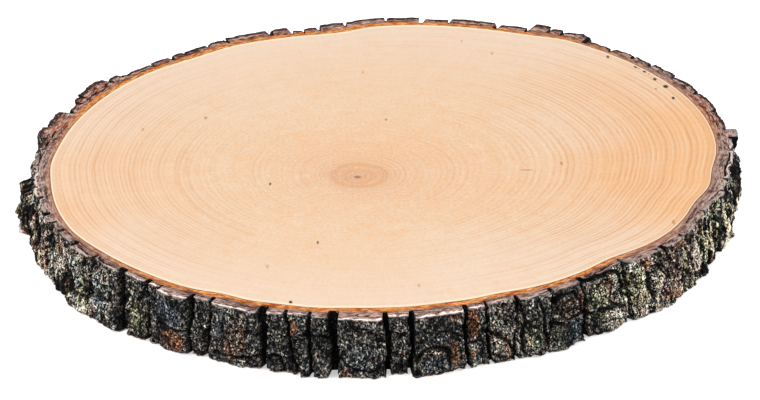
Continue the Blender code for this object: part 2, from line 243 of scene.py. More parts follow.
# Fissures that run up the bark elsewhere: where, how many, and their seed
FISSURE_RANGES = ((321.0, 360.0, 34), (0.0, 178.0, 84), (178.0, 216.0, 22))
FISSURE_SEED = 17
FISSURE_FOOT = (-4, 16)
FISSURE_STEPS = (2, 6)
FISSURE_SWAY = 0.45  # degrees at each step
FISSURE_RISE = (2.0, 4.5)
FISSURE_WIDTH = (0.4, 0.8)
FISSURE_DEPTH = (0.7, 1.6)
CRACK_WALLS = (0.3, 1.3)  # shares of a crack's width between which its wall rises
CRACK_REACH = 1.5  # degrees past its middle line where a crack has surely ended

# Cracks on the sawn face that part a plate from the bark behind it:
# azimuths where one begins and ends, how far out from the wood, width and depth
Split = namedtuple("Split", "begin end out width depth")
SPLITS = [
    Split(*row)
    for row in (
        (215.4, 226.8, 4.3, 1.0, 2.6), (228.5, 234.0, 3.4, 0.7, 1.6), (304.0, 311.6, 3.5, 0.9, 2.4),
        (179.0, 186.6, 5.9, 0.5, 1.4), (350.6, 2.8, 5.4, 0.7, 1.8),
        (281.8, 289.6, 4.0, 0.5, 1.2), (264.6, 269.6, 6.2, 0.4, 0.9), (340.5, 346.0, 4.6, 0.5, 1.4),
        (55.5, 61.5, 6.4, 0.9, 2.0), (71.5, 81.5, 5.0, 0.6, 1.5), (105.0, 110.6, 4.2, 0.6, 1.5),
        (147.6, 157.5, 6.2, 1.0, 2.2), (112.4, 118.2, 5.6, 0.6, 1.4), (26.0, 32.0, 4.8, 0.6, 1.4),
        (169.6, 177.6, 5.4, 0.8, 1.8), (10.6, 16.0, 3.6, 0.5, 1.2),
        (244.8, 251.6, 4.6, 0.5, 1.0), (319.0, 326.0, 4.4, 0.5, 1.2), (34.0, 40.0, 4.8, 0.6, 1.4),
    )
]

# The fine mesh of the bark
COLUMN_STEP = 0.585
COLUMN_CROWDING = 0.45  # share by which columns stand closer to each other beside a furrow
SIDE_ROWS = 38
TOP_STRIPS = 12
BOTTOM_STRIPS = 4
EDGE_ROWS = (0.25, 0.65)  # distance from each sawn face, for the edge's rounding
SAWN_CORNER = math.radians(75)  # edges sharper than this stay sharp
CAP_SPAN = 14.0  # the bark is nowhere wider than this: the noises over its sawn face reach out to here
CAP_ROUGH = (900, 20, 44, CAP_SPAN)
CAP_LUMPS = (260, 24, 45, CAP_SPAN)
CAP_WORN = (180, 1, 46, CAP_SPAN)
CAP_TONE = (300, 5, 47, CAP_SPAN)
BAND_WAVES = (130, 2, 51, CAP_SPAN)
BAND_RAGS = (430, 6, 52, CAP_SPAN)
SEAM_GAPS = (150, 2, 53, CAP_SPAN)
SPLIT_CELLS = (200, 2)
SPLIT_SPAN = 12
SPLIT_WANDER = 0.6
CAP_SUNK = 0.16  # how far the sawn bark lies below the sawn wood
CAP_ROUGH_BY = 0.1  # how far each of these noises acts
CAP_LUMPS_BY = 0.09
CAP_WORN_BY = 0.6  # and how much further at most where its rim is worn
BAND_WAVES_BY = 0.8
BAND_RAGS_BY = 0.5
FIBRE_WIDTH = 1.6  # the fibrous bark next to the wood
FIBRE_GAP = 0.02
FIBRE_COLUMNS = 1500
FIBRE_STRIPS = 7
FIBRE_ROUGH = (800, 10, 61, 3)
FIBRE_LUMPS = (200, 12, 62, 3)
FIBRE_ROUGH_BY = 0.06
FIBRE_SUNK = 0.12
FIBRE_FOOT = 0.1
FIBRE_WAVES = (60, 1, 41)  # two noises of its outer edge
FIBRE_FRAYS = (260, 1, 40)
LEAST_BARK = 2.4

# The bark's coloured patches, by tint: azimuth, height, half width and half height (mm), and strength
PATCHES = {
    "rust": (
        (238.7, 5.4, 5.2, 5.0, 1.0), (248.0, 7.0, 3.0, 5.0, 0.35), (249.9, 12.0, 1.2, 5.0, 0.45),
        (257.1, 18.2, 2.0, 3.2, 0.75), (277.6, 10.6, 5.4, 1.1, 0.45), (280.8, 8.0, 1.8, 5.6, 0.8),
        (280.8, 22.6, 2.2, 1.8, 0.7), (283.9, 18.6, 2.6, 6.4, 0.95), (283.6, 6.0, 1.8, 2.0, 0.5),
        (289.2, 6.4, 1.2, 4.6, 0.6), (302.2, 17.6, 1.3, 6.0, 0.85), (309.2, 18.2, 1.8, 4.4, 0.75),
        (309.6, 12.6, 1.3, 3.0, 0.5), (317.0, 20.6, 2.6, 3.4, 0.85), (320.8, 5.4, 2.2, 3.0, 0.6),
        (323.6, 2.6, 3.0, 2.6, 0.8), (325.2, 22.6, 4.4, 1.8, 0.8), (331.6, 21.6, 3.4, 2.4, 0.8),
        (206.4, 4.0, 2.0, 3.4, 0.9), (211.6, 18.4, 2.0, 5.0, 0.7), (214.6, 4.6, 3.2, 4.4, 0.7),
        (222.0, 3.4, 2.4, 3.0, 0.4), (265.0, 2.6, 2.4, 2.2, 0.35), (40.0, 9.0, 5.0, 5.0, 0.5),
        (77.0, 14.0, 6.0, 5.0, 0.45), (116.0, 7.0, 5.0, 5.0, 0.7), (150.0, 15.0, 4.0, 6.0, 0.5),
        (10.0, 15.0, 4.0, 7.0, 0.5),
    ),
    "brown": (
        (248.9, 13.0, 4.6, 9.0, 0.75), (257.3, 15.0, 3.0, 6.0, 0.5), (287.4, 10.0, 4.0, 5.0, 0.5),
        (299.8, 17.0, 5.6, 5.4, 0.95), (328.4, 13.0, 4.0, 9.0, 0.7), (346.0, 10.0, 6.0, 10.0, 0.5),
        (354.0, 7.0, 12.0, 7.0, 0.4), (205.2, 13.4, 3.0, 8.0, 0.6), (197.2, 12.0, 4.0, 10.0, 0.7),
        (190.0, 14.0, 5.0, 9.0, 0.4), (28.0, 12.0, 9.0, 9.0, 0.6), (106.0, 12.0, 8.0, 9.0, 0.6),
        (172.0, 12.0, 7.0, 9.0, 0.5), (325.0, 12.0, 18.0, 14.0, 0.6),
    ),
    "olive": (
        (293.6, 9.0, 5.0, 6.4, 0.7), (297.8, 6.4, 3.4, 5.0, 0.6), (306.4, 13.0, 6.0, 9.0, 0.8),
        (314.6, 12.0, 6.4, 10.0, 0.7), (337.0, 11.0, 12.0, 12.0, 0.6), (219.4, 9.0, 4.0, 8.0, 0.7),
        (231.4, 8.0, 5.0, 7.0, 0.8), (202.0, 12.0, 3.0, 8.0, 0.6), (58.0, 11.0, 10.0, 10.0, 0.7),
        (128.0, 12.0, 12.0, 9.0, 0.8), (347.0, 11.0, 16.0, 14.0, 0.3),
    ),
    "blue": (
        (238.0, 16.4, 6.6, 6.2, 0.8), (246.0, 16.0, 3.0, 7.0, 0.5), (267.0, 9.0, 6.0, 8.0, 0.35),
        (278.0, 4.6, 4.6, 4.0, 0.5), (301.2, 6.4, 3.4, 5.6, 0.9), (217.4, 15.0, 5.0, 6.0, 0.6),
        (223.4, 11.0, 6.0, 8.0, 0.6), (90.0, 12.0, 10.0, 9.0, 0.6), (155.0, 10.0, 9.0, 8.0, 0.5),
    ),
    "rose": (
        (198.0, 8.0, 24.0, 14.0, 0.45),
    ),
    "pale": (
        # The first pale patch, a thin line along the top edge of the scale at 276.9 degrees, is a painted
        # highlight
        (276.6, 10.4, 5.0, 1.0, 0.9), (307.2, 17.6, 4.0, 5.0, 0.35), (314.0, 14.0, 5.0, 7.0, 0.3),
        (328.2, 12.0, 3.4, 8.0, 0.4), (339.0, 11.0, 11.0, 10.0, 0.75), (211.6, 18.4, 2.0, 5.0, 0.6),
        (225.6, 9.0, 3.0, 7.0, 0.35), (229.9, 15.0, 1.2, 4.0, 0.8), (231.2, 8.6, 3.4, 4.6, 0.35),
        (201.4, 20.0, 3.0, 4.0, 0.4), (56.0, 12.0, 7.0, 7.0, 0.35), (130.0, 13.0, 8.0, 6.0, 0.3),
        (334.0, 12.0, 10.0, 14.0, 0.6), (344.0, 11.0, 16.0, 14.0, 0.9), (354.0, 3.0, 12.0, 7.0, 0.8),
        (199.0, 6.0, 16.0, 9.0, 0.6), (218.0, 12.0, 22.0, 14.0, 0.4), (314.0, 12.0, 22.0, 14.0, 0.45),
        (330.0, 14.0, 12.0, 12.0, 0.5), (290.0, 14.0, 14.0, 14.0, 0.2), (207.0, 12.0, 10.0, 14.0, 0.4),
    ),
    "black": (
        (1.0, 14.0, 15.0, 9.0, 0.9), (190.4, 13.0, 13.0, 9.0, 0.8),
    ),
}
PATCH_EDGE = (0.55, 1.2)  # a patch fades between these shares of its half sizes

# How the sawn bark is coloured round the slice: how orange it is by the wood and how wide (mm) that band is,
# how reddish it is beyond, and how strongly its rim is painted pale as a highlight instead of weathered dark
ORANGE = (
    (0, 0.1), (6, 0.3), (24, 0.35), (34, 0.2), (48, 0.5), (60, 0.85), (90, 1.0), (160, 1.0), (168, 0.45),
    (180, 0.3), (205, 0.3), (222, 0.45), (236, 0.9), (262, 1.0), (308, 1.0), (316, 0.6), (324, 0.35),
    (345, 0.1),
)
ORANGE_WIDTH = (
    (0, 1.8), (20, 2.2), (60, 3.6), (100, 4.4), (125, 3.8), (150, 3.2), (165, 3.0), (185, 1.8),
    (225, 2.2), (245, 2.9), (300, 2.9), (330, 2.2),
)
REDNESS = (
    (0, 0.1), (6, 0.15), (9, 0.3), (12, 0.85), (22, 0.75), (30, 0.3), (52, 0.5), (75, 0.85), (90, 0.7),
    (140, 0.9), (168, 0.8), (178, 0.2), (220, 0.25), (250, 0.2), (320, 0.25), (350, 0.1),
)
PAINTED_HIGHLIGHT_RIM = (
    (0, 0.8), (6, 0.5), (12, 0.0), (30, 0.0), (100, 0.0), (180, 0.0), (187, 0.7), (196, 0.7), (204, 0.4),
    (222, 0.6), (236, 1.0), (286, 1.0), (294, 0.5), (330, 0.4), (345, 0.45),
)

# Growth rings, counted at shares of the way from the pith to the bark
RING_COUNTS = ((0.0, 0.0), (0.15, 11.0), (0.58, 35.0), (0.75, 46.0), (1.0, 64.0))
# Their waves: height in rings, cells round the slice and along the growth, and a seed
RING_WAVES = ((0.9, 3, 5, 71), (0.28, 11, 9, 72), (0.3, 1, 22, 73))
WOOD_COLUMNS = 720
WOOD_ROWS = 60

# Arcs that are darker than their neighbours: share of growth, middle azimuth from the pith, half length
# (999 for all the way round) and strength
ARCS = (
    (0.073, 0, 999, 0.55), (0.083, 0, 999, 0.6), (0.044, 0, 999, 0.35), (0.135, 20, 60, 0.25),
    (0.18, 170, 60, 0.2), (0.69, 18, 42, 0.28), (0.83, 32, 20, 0.25), (0.55, 196, 40, 0.22),
    (0.585, 196, 44, 0.22), (0.335, 190, 50, 0.2), (0.27, 10, 60, 0.2), (0.86, 178, 14, 0.25),
    (0.9, 178, 14, 0.25), (0.74, 190, 18, 0.25), (0.77, 8, 30, 0.2),
)

# Places where the wood is more orange or paler: centre, how far in full and how far at all, strength, colour
SPOTS = (
    ((150, -8), 46, 100, 0.92, "orange"), ((40, 12), 10, 60, 0.2, "orange"),
    ((112, 66), 16, 60, 0.5, "orange"), ((114, 28), 8, 36, 0.35, "orange"),
    ((-131, -65), 6, 34, 0.9, "orange"), ((-120, -22), 10, 60, 0.4, "orange"),
    ((46, -100), 14, 48, 0.6, "pale"), ((80, 27), 14, 42, 0.45, "pale"),
    ((46, -42), 8, 36, 0.25, "orange"), ((-72, 62), 16, 50, 0.3, "pale"), ((-8, 4), 8, 36, 0.3, "orange"),
)

# How wide (mm) the cream line of the last growth is, round the slice
CREAM_WIDTH = (
    (0, 0.35), (20, 0.45), (40, 0.8), (70, 1.6), (90, 2.0), (140, 1.6), (165, 0.9), (185, 0.7),
    (215, 0.8), (250, 1.4), (300, 1.3), (325, 0.6), (345, 0.35),
)

# Small marks on the upper face: X, Y, half length in X, half length in Y, strength, and colour
MARKS = (
    (-75.3, 36.6, 0.68, 1.7, 0.8, "tan"), (-101.4, 24.4, 0.6, 1.7, 0.6, "tan"),
    (50.1, 108.6, 0.6, 1.7, 0.6, "tan"), (36.7, 123.2, 0.52, 1.53, 0.5, "tan"),
    (-8.1, 86.7, 0.52, 1.53, 0.6, "tan"), (74.9, -10.0, 0.68, 1.7, 0.8, "tan"),
    (60.1, -16.6, 3.2, 0.5, 0.9, "tan"), (-44.0, -105.4, 0.6, 1.7, 0.5, "tan"),
    (14.4, -121.5, 0.6, 1.7, 0.5, "tan"), (116.5, -66.1, 0.68, 2.21, 0.8, "tan"),
    (2.2, 34.8, 0.6, 1.3, 0.5, "dark"), (-45.4, -30.2, 0.52, 1.53, 0.8, "dark"),
    (-24.9, -84.4, 0.45, 1.53, 0.8, "dark"), (-34.2, -135.5, 0.68, 1.53, 1.0, "dark"),
    (102.1, 104.6, 0.68, 1.7, 0.9, "dark"), (113.8, 93.2, 0.9, 1.6, 1.0, "dark"),
    (117.4, 87.8, 0.95, 1.4, 1.0, "dark"), (121.1, 79.0, 0.85, 1.6, 0.95, "dark"),
    (125.2, 70.8, 1.2, 1.8, 1.0, "dark"), (127.4, 58.0, 0.7, 1.6, 1.0, "dark"),
    (119.0, 85.0, 0.4, 0.8, 0.6, "dark"), (120.7, 68.2, 0.45, 1.0, 0.6, "dark"),
    (115.2, 91.4, 0.5, 0.8, 0.8, "dark"),
)


def seen_as(red, green, blue, light):
    """The linear colour that looks like an sRGB colour from 0 to 255 where the light is so bright."""
    shares = (c / 255 for c in (red, green, blue))
    return tuple((s / 12.92 if s <= 0.04045 else ((s + 0.055) / 1.055) ** 2.4) / light for s in shares)


def on_face(*colour):
    return seen_as(*colour, FACE_LIGHT)


def on_side(*colour):
    return seen_as(*colour, SIDE_LIGHT)


# Wood, from the pith out
WOOD_STOPS = (
    (0.0, on_face(224, 168, 129)), (0.06, on_face(232, 180, 141)), (0.12, on_face(240, 198, 160)),
    (0.25, on_face(243, 204, 168)), (0.45, on_face(244, 209, 175)), (0.65, on_face(245, 211, 178)),
    (0.85, on_face(246, 217, 190)), (1.0, on_face(246, 221, 197)),
)
WOOD_ORANGE = on_face(249, 193, 138)
WOOD_PALE = on_face(246, 223, 199)
WOOD_LATE = on_face(222, 158, 104)
WOOD_EARLY = on_face(252, 230, 205)
PITH_SPOT = on_face(150, 96, 76)
MARK_TAN = on_face(200, 136, 78)
MARK_DARK = on_face(44, 30, 26)
CAMBIUM = on_face(255, 240, 206)

FIBRE_BROWN = on_face(154, 116, 102)
FIBRE_ORANGE = on_face(240, 142, 48)
FIBRE_LIGHT = on_face(252, 196, 134)
FIBRE_RUST = on_face(176, 78, 32)
FIBRE_DARK = on_face(92, 54, 40)
FIBRE_LINE = on_face(134, 66, 40)

CUT_MAUVE = on_face(162, 138, 133)
CUT_BROWN = on_face(188, 154, 140)
CUT_PINK = on_face(224, 196, 184)
# A pale painted highlight for the rim of the sawn bark
CUT_HIGHLIGHT = on_side(240, 222, 214)
CUT_RED = on_face(204, 124, 88)
CUT_UMBER = on_face(96, 60, 50)
CUT_DARK = on_face(56, 40, 38)

# Weathered bark: grains from dark to light, tints that multiply them, and rust
BARK_LEVELS = (
    (0.0, on_side(1, 1, 2)), (0.28, on_side(3, 4, 5)), (0.42, on_side(19, 21, 22)),
    (0.55, on_side(48, 51, 52)), (0.68, on_side(82, 83, 82)), (0.8, on_side(120, 119, 114)),
    (0.9, on_side(178, 174, 162)), (1.0, on_side(252, 248, 232)),
)
BARK_BLACK = on_side(4, 4, 5)
RUST_BROWN = on_side(58, 32, 26)
RUST_ORANGE = on_side(214, 132, 70)
HUE_BROWN = (1.26, 0.93, 0.82)
HUE_OLIVE = (1.03, 1.14, 0.74)
HUE_BLUE = (0.72, 0.98, 1.34)
HUE_RED = (1.4, 0.76, 0.68)
HUE_STRAW = (1.14, 1.06, 0.62)
HUE_ROSE = (1.3, 0.78, 0.8)
HUE_SLATE = (0.86, 0.96, 1.04)

# How fine the patterns in the materials are, in cells for each metre
BLOTCHES = 24.0
RING_PATCHES = 60.0
RING_WOBBLE = 70.0
MOTTLES = 150.0
PORES = 750.0
CUT_LAYERS = 420.0
CUT_STREAKS = 520.0
CUT_GRAINS = 950.0
FLECKS = 650.0
SIDE_PATCHES = 300.0
SIDE_GRAINS = 2300.0
FINE_GRAINS = 3000.0
STRANDS = 620.0
# Grains of the side are drawn out upwards, and strands far more. The layers of sawn bark run along its rim.
SIDE_STRETCH = (1, 1, 0.6)
STRAND_STRETCH = (1, 1, 0.14)
CUT_ALONG = 0.5
CUT_ACROSS = 3.0


def smooth_step(low, high, value):
    share = np.clip((value - low) / (high - low), 0.0, 1.0)
    return share * share * (3.0 - 2.0 * share)


def closed_curve(knots, azimuth):
    """A smooth closed curve through (azimuth, value) knots."""
    at, value = np.array(knots, float).T
    at = np.concatenate([at[-2:] - 360, at, at[:3] + 360])
    value = np.concatenate([value[-2:], value, value[:3]])
    slope = np.gradient(value, at)
    azimuth = np.asarray(azimuth) % 360
    i = np.searchsorted(at, azimuth, side="right") - 1
    span = at[i + 1] - at[i]
    t = (azimuth - at[i]) / span
    rise = value[i + 1] - value[i]
    bend = (slope[i] * span - rise) * (1 - t) - (slope[i + 1] * span - rise) * t
    return value[i] + t * rise + t * (1 - t) * bend


def wood_radius(azimuth):
    return closed_curve(WOOD_EDGE, azimuth)


def turned(azimuth, middle):
    """How many degrees azimuths are past a middle one, from -180 to 180."""
    return (azimuth - middle + 180) % 360 - 180


def flank(azimuth):
    """1 at the left and the right of the slice, falling to 0 in front and behind."""
    return np.cos(np.radians(azimuth)) ** 4


def noise(azimuth, other, across, up, seed, span=THICKNESS):
    """Smooth noise from -1 to 1: across cells round the slice, which close, and up cells over the span."""
    knots = np.random.default_rng(seed).uniform(-1, 1, (up + 2, across))
    u = azimuth % 360 / 360 * across
    v = np.clip(other / span, 0, 1) * up
    i, j = np.floor(u).astype(int), np.floor(v).astype(int)
    s, t = smooth_step(0, 1, u - i), smooth_step(0, 1, v - j)
    low = knots[j, i % across] * (1 - s) + knots[j, (i + 1) % across] * s
    high = knots[j + 1, i % across] * (1 - s) + knots[j + 1, (i + 1) % across] * s
    return low * (1 - t) + high * t


def cells(azimuth, height, across, up, seed):
    """Cracked cells over the side: by how many mm the nearest centre is nearest, and its number."""
    draw = np.random.default_rng(seed)
    jitter = draw.uniform(0.1, 0.9, (2, up + 2, across))
    number = draw.uniform(-1, 1, (up + 2, across))
    wide, tall = 360 * MM_PER_DEGREE / across, THICKNESS / up
    u = azimuth % 360 / 360 * across
    v = height / THICKNESS * up + 1
    column, row = np.floor(u).astype(int), np.floor(v).astype(int)
    nearest = np.full(u.shape, np.inf)
    second = np.full(u.shape, np.inf)
    found = np.zeros(u.shape)
    for across_by in (-1, 0, 1):
        for up_by in (-1, 0, 1):
            i = column + across_by
            j = np.clip(row + up_by, 0, up + 1)
            x = (i + jitter[0, j, i % across] - u) * wide
            y = (j + jitter[1, j, i % across] - v) * tall
            far = np.hypot(x, y)
            closer = far < nearest
            second = np.where(closer, nearest, np.minimum(second, far))
            found = np.where(closer, number[j, i % across], found)
            nearest = np.where(closer, far, nearest)
    return second - nearest, found


def all_scales():
    """The scales seen from the front, and those of the back, drawn from a seed."""
    draw = np.random.default_rng(SCALE_SEED)
    start, end = BACK_AZIMUTHS
    step = (end - start) / BACK_SCALE_COUNT
    back = [
        Scale(start + (k + draw.uniform(0.2, 0.8)) * step, *(draw.uniform(*ends) for ends in BACK_SCALE))
        for k in range(BACK_SCALE_COUNT)
    ]
    return FRONT_SCALES + back


def all_cracks():
    """The cracks drawn on the front, and fissures that run up the rest, drawn from a seed."""
    draw = np.random.default_rng(FISSURE_SEED)
    fissures = []
    for begin, end, count in FISSURE_RANGES:
        for k in range(count):
            azimuth = begin + (k + draw.uniform(0, 1)) * (end - begin) / count
            height = draw.uniform(*FISSURE_FOOT)
            path = [(azimuth, height)]
            for _ in range(draw.integers(*FISSURE_STEPS)):
                azimuth += draw.normal(0, FISSURE_SWAY)
                height += draw.uniform(*FISSURE_RISE)
                path.append((azimuth, height))
            fissures.append(Crack(draw.uniform(*FISSURE_WIDTH), draw.uniform(*FISSURE_DEPTH), path))
    return FRONT_CRACKS + fissures


def furrow_azimuth(plate, height):
    """Where the furrow at the start of each plate runs, at a height."""
    draw = np.random.default_rng(WANDER_SEED)
    phase = draw.uniform(0, 2 * math.pi, len(PLATES))
    turns = draw.uniform(*WANDER_TURNS, len(PLATES))
    start, lean = np.array([(p.start, p.lean) for p in PLATES]).T
    down = 1 - height / THICKNESS
    wander = WANDER * np.sin(phase[plate] + 2 * math.pi * turns[plate] * down) * down
    return start[plate] + lean[plate] * down + np.degrees(wander / MIDDLE_RADIUS)


def thickness_of(plate, height):
    """Bark thickness of each plate's face, with its break across."""
    draw = np.random.default_rng(BREAK_SEED)
    at = draw.uniform(*BREAK_HEIGHTS, len(PLATES))
    drop = draw.uniform(-1, 1, len(PLATES)) * BREAK_DROP
    top, bottom = np.array([(p.top, p.bottom) for p in PLATES]).T
    share = height / THICKNESS
    step = drop[plate] * (smooth_step(-BREAK_RAMP, BREAK_RAMP, height - at[plate]) - share)
    return bottom[plate] + (top - bottom)[plate] * share + step


def crack_depth(azimuth, height):
    """How deep the drawn cracks cut, at points on the side."""
    depth = np.zeros(azimuth.shape)
    for crack in all_cracks():
        path = np.array(crack.path)
        away = turned(azimuth, path[:, 0].mean())
        reach = np.ptp(path[:, 0]) / 2 + CRACK_REACH
        near = np.abs(away) < reach
        x = away[near] * MM_PER_DEGREE
        y = height[near]
        path_x = (path[:, 0] - path[:, 0].mean()) * MM_PER_DEGREE
        far = np.full(x.shape, np.inf)
        for ax, ay, bx, by in zip(path_x[:-1], path[:-1, 1], path_x[1:], path[1:, 1]):
            length = (bx - ax) ** 2 + (by - ay) ** 2
            t = np.clip(((x - ax) * (bx - ax) + (y - ay) * (by - ay)) / length, 0, 1)
            far = np.minimum(far, np.hypot(x - ax - t * (bx - ax), y - ay - t * (by - ay)))
        cut = crack.depth * (1 - smooth_step(*(share * crack.width for share in CRACK_WALLS), far))
        depth[near] = np.maximum(depth[near], cut)
    return depth


def layers(azimuth, height):
    """Flakes that lie on each other: the rise in mm, and 1 along the foot of each one's edge."""
    level = 1.7 * noise(azimuth, height, *LAYERS) + 0.8 * noise(azimuth, height, *FINE_LAYERS) + LAYER_COUNT
    within = level % 1.0
    rise = LAYER_RISE * (level - within + smooth_step(0.78, 1.0, within) - LAYER_COUNT)
    foot = smooth_step(0.5, 0.74, within) * (1 - smooth_step(0.8, 0.95, within))
    return rise, foot


Relief = namedtuple("Relief", "rise tone dark")


def fine_relief(azimuth, height):
    """The bark's flakes, cracks, ridges and grain: their rise, each flake's tone, and 1 where shade is
    painted in cracks and at the foot of flakes.
    """
    gap, flake = cells(azimuth, height, *FLAKES)
    chip_gap, chip = cells(azimuth, height, *CHIPS)
    crack = 1 - smooth_step(0.05, 0.65, gap)
    chip_crack = 1 - smooth_step(0.0, 0.4, chip_gap)
    ridge = 1 - 2 * np.abs(noise(azimuth, height, *RIDGES))
    fine_ridge = 1 - 2 * np.abs(noise(azimuth, height, *FINE_RIDGES))
    layer, foot = layers(azimuth, height)
    cut = crack_depth(azimuth, height)
    rise = FLAKE_RISE * flake - FLAKE_CRACK * crack - CHIP_CRACK * chip_crack
    rise = rise + RIDGE_RISE * ridge + FINE_RIDGE_RISE * fine_ridge + CHIP_RISE * chip
    rise = rise + GRAIN_RISE * noise(azimuth, height, *GRAIN) + layer - cut
    # Painted shade: dark in the cracks of flakes and chips, along the foot of each flake's edge, and in the
    # drawn cracks by their depth
    dark = np.maximum(0.75 * crack * (0.5 + 0.5 * chip), 0.4 * chip_crack)
    dark = np.maximum(np.maximum(dark, 0.7 * foot), np.clip(cut / 0.9, 0, 1))
    stripe = STRIPED * flank(azimuth) * noise(azimuth, height, *STRIPES)
    return Relief(rise, 0.6 * flake + 0.4 * chip + stripe, dark)


def side_surface(plate, share, height):
    """Azimuth, bark thickness, depth in a furrow (0 to 1) and relief of points on the bark's side."""
    after = (plate + 1) % len(PLATES)
    before = (plate - 1) % len(PLATES)
    start = furrow_azimuth(plate, height)
    width = (furrow_azimuth(after, height) - start) % 360
    azimuth = start + share * width

    # A little wander gives each crack and scale a ragged outline
    ragged = azimuth + RAGGED_BY / MM_PER_DEGREE * noise(azimuth, height, *RAGGED)
    lifted = height + RAGGED_BY * noise(azimuth, height, *RAGGED_UP)
    face = thickness_of(plate, lifted) - CROWN * np.abs(2 * share - 1) ** 3
    swelling = np.where(azimuth % 360 < 180, 1.0, 1 - height / THICKNESS) * np.sin(np.radians(azimuth)) ** 2
    face = face + LUMP_RISE * noise(azimuth, height, *LUMPS) + SWELL * swelling
    for scale in all_scales():
        across = turned(ragged, scale.azimuth) * MM_PER_DEGREE / scale.half_width
        up = (lifted - scale.height) / scale.half_height
        face = face + scale.rise * (1 - smooth_step(*SCALE_EDGE, (across**4 + up**4) ** 0.25))
    relief = fine_relief(ragged, lifted)
    face = face + relief.rise * (1 - CLEAN_CUT * smooth_step(THICKNESS - CLEAN_CUT_HEIGHT, THICKNESS, height))

    furrow = np.array([p.furrow for p in PLATES])
    gape = 1 + FURROW_GAPE * noise(azimuth, height, *GAPE)
    mouth = np.random.default_rng(MOUTH_SEED).uniform(*MOUTH, len(PLATES))
    opened = smooth_step(*MOUTH_HEIGHTS, height)
    torn = TORN_BY * noise(azimuth, height, *TORN)
    level = face
    for side, neighbour, reach in ((plate, before, share), (after, after, 1 - share)):
        depth = (FURROW_DEPTH[0] + FURROW_DEPTH[1] * furrow[side]) * (1 - SHALLOW * flank(azimuth))
        floor = np.minimum(thickness_of(plate, height), thickness_of(neighbour, height)) - depth
        floor = np.maximum(floor, INNER_BARK) + FLOOR_RELIEF * relief.rise
        open_half = furrow[side] / 2 * (gape + mouth[side] * opened)
        gap = reach * width * MM_PER_DEGREE + torn
        rise = smooth_step(FURROW_FLOOR * open_half, open_half + WALL, gap)
        level = np.minimum(level, floor + np.maximum(face - floor, 0) * rise)
    # The furrow's depth share is used to paint shade in it
    return azimuth, level, np.clip((face - level) / FURROW_FULL_SHADE, 0, 1), relief


def broken_edges(azimuth, height):
    """Bark lost along the two sawn edges, and more of it at the foot of some plates."""
    from_face = np.minimum(THICKNESS - height, height)
    crumbled = EDGE_LOSS + EDGE_LOSS_BY[0] * noise(azimuth, height, *BROKEN_EDGE)
    crumbled = crumbled + EDGE_LOSS_BY[1] * noise(azimuth, height, *CRUMBS)
    foot = np.clip(0.2 + noise(azimuth, height, *LOST_FOOT), 0, 1)
    lost = FOOT_LOSS * foot * (1 - smooth_step(0, FOOT_HEIGHT * foot + 0.1, height))
    return crumbled * (1 - smooth_step(0, EDGE_HEIGHT, from_face)) + lost


def tint_share(tint, azimuth, height):
    """How strongly a tint colours points on the side, from 0 to 1."""
    found = np.zeros(azimuth.shape)
    for middle, middle_height, half_width, half_height, strength in PATCHES[tint]:
        x = turned(azimuth, middle) * MM_PER_DEGREE / half_width
        y = (height - middle_height) / half_height
        found = np.maximum(found, strength * (1 - smooth_step(*PATCH_EDGE, np.hypot(x, y))))
    return found


def placed(radius, azimuth, height):
    """Points in metres from polar ones, centred and fitted as the solid is."""
    low, high = np.array(OUTLINE_LOW), np.array(OUTLINE_HIGH)
    corner_low, corner_high = (np.array(corner[:2]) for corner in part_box(NODE))
    flat = np.stack([radius * np.cos(np.radians(azimuth)), radius * np.sin(np.radians(azimuth))], axis=-1)
    flat = (flat - (low + high) / 2) / (high - low) * (corner_high - corner_low)
    return np.concatenate([flat, np.broadcast_to(height * MM, radius.shape)[..., None]], axis=-1)


def spot_on_face(x, y):
    """A place on the upper face, given in mm, in metres and centred as the solid is."""
    at = placed(np.array(math.hypot(x, y)), np.array(math.degrees(math.atan2(y, x))), 0.0)
    return (float(at[0]), float(at[1]), 0.0)


def mesh_object(name, points, faces, attributes):
    """A smooth mesh with sharp sawn corners, and a number for each point under each attribute's name."""
    mesh = bpy.data.meshes.new(name)
    mesh.from_pydata(points.reshape(-1, 3), [], faces)
    for key, values in attributes.items():
        layer = mesh.attributes.new(key, "FLOAT", "POINT")
        layer.data.foreach_set("value", np.asarray(values, np.float32).ravel())
    mesh.shade_smooth()
    mesh.set_sharp_from_angle(angle=SAWN_CORNER)
    made = bpy.data.objects.new(name, mesh)
    bpy.context.scene.collection.objects.link(made)
    return made


def ring_faces(rows, columns):
    """Faces of a closed ring: a grid of points that closes round its rows and round its columns."""
    index = np.arange(rows * columns).reshape(rows, columns)
    above = np.roll(index, -1, axis=0)
    faces = np.stack([index, above, np.roll(above, -1, axis=1), np.roll(index, -1, axis=1)], axis=-1)
    return faces.reshape(-1, 4)


def split_depth(azimuth, out):
    """Depth of the cracks on the sawn face, at points out from the wood."""
    depth = np.zeros(out.shape)
    for seed, split in enumerate(SPLITS):
        along = ((azimuth - split.begin) % 360) / ((split.end - split.begin) % 360)
        inside = np.where(along <= 1, smooth_step(0, 0.12, along) * (1 - smooth_step(0.88, 1, along)), 0)
        middle = split.out + SPLIT_WANDER * noise(azimuth, out, *SPLIT_CELLS, seed, SPLIT_SPAN)
        half = split.width / 2 * (0.5 + 0.5 * inside)
        cut = split.depth * inside * (1 - smooth_step(0.5 * half, 1.6 * half, abs(out - middle)))
        depth = np.maximum(depth, cut)
    return depth


def fibre_edge(azimuth):
    """How far the fibrous inner bark reaches out from the wood."""
    here = 0 * azimuth
    return FIBRE_WIDTH + 0.4 * noise(azimuth, here, *FIBRE_WAVES) + 0.2 * noise(azimuth, here, *FIBRE_FRAYS)


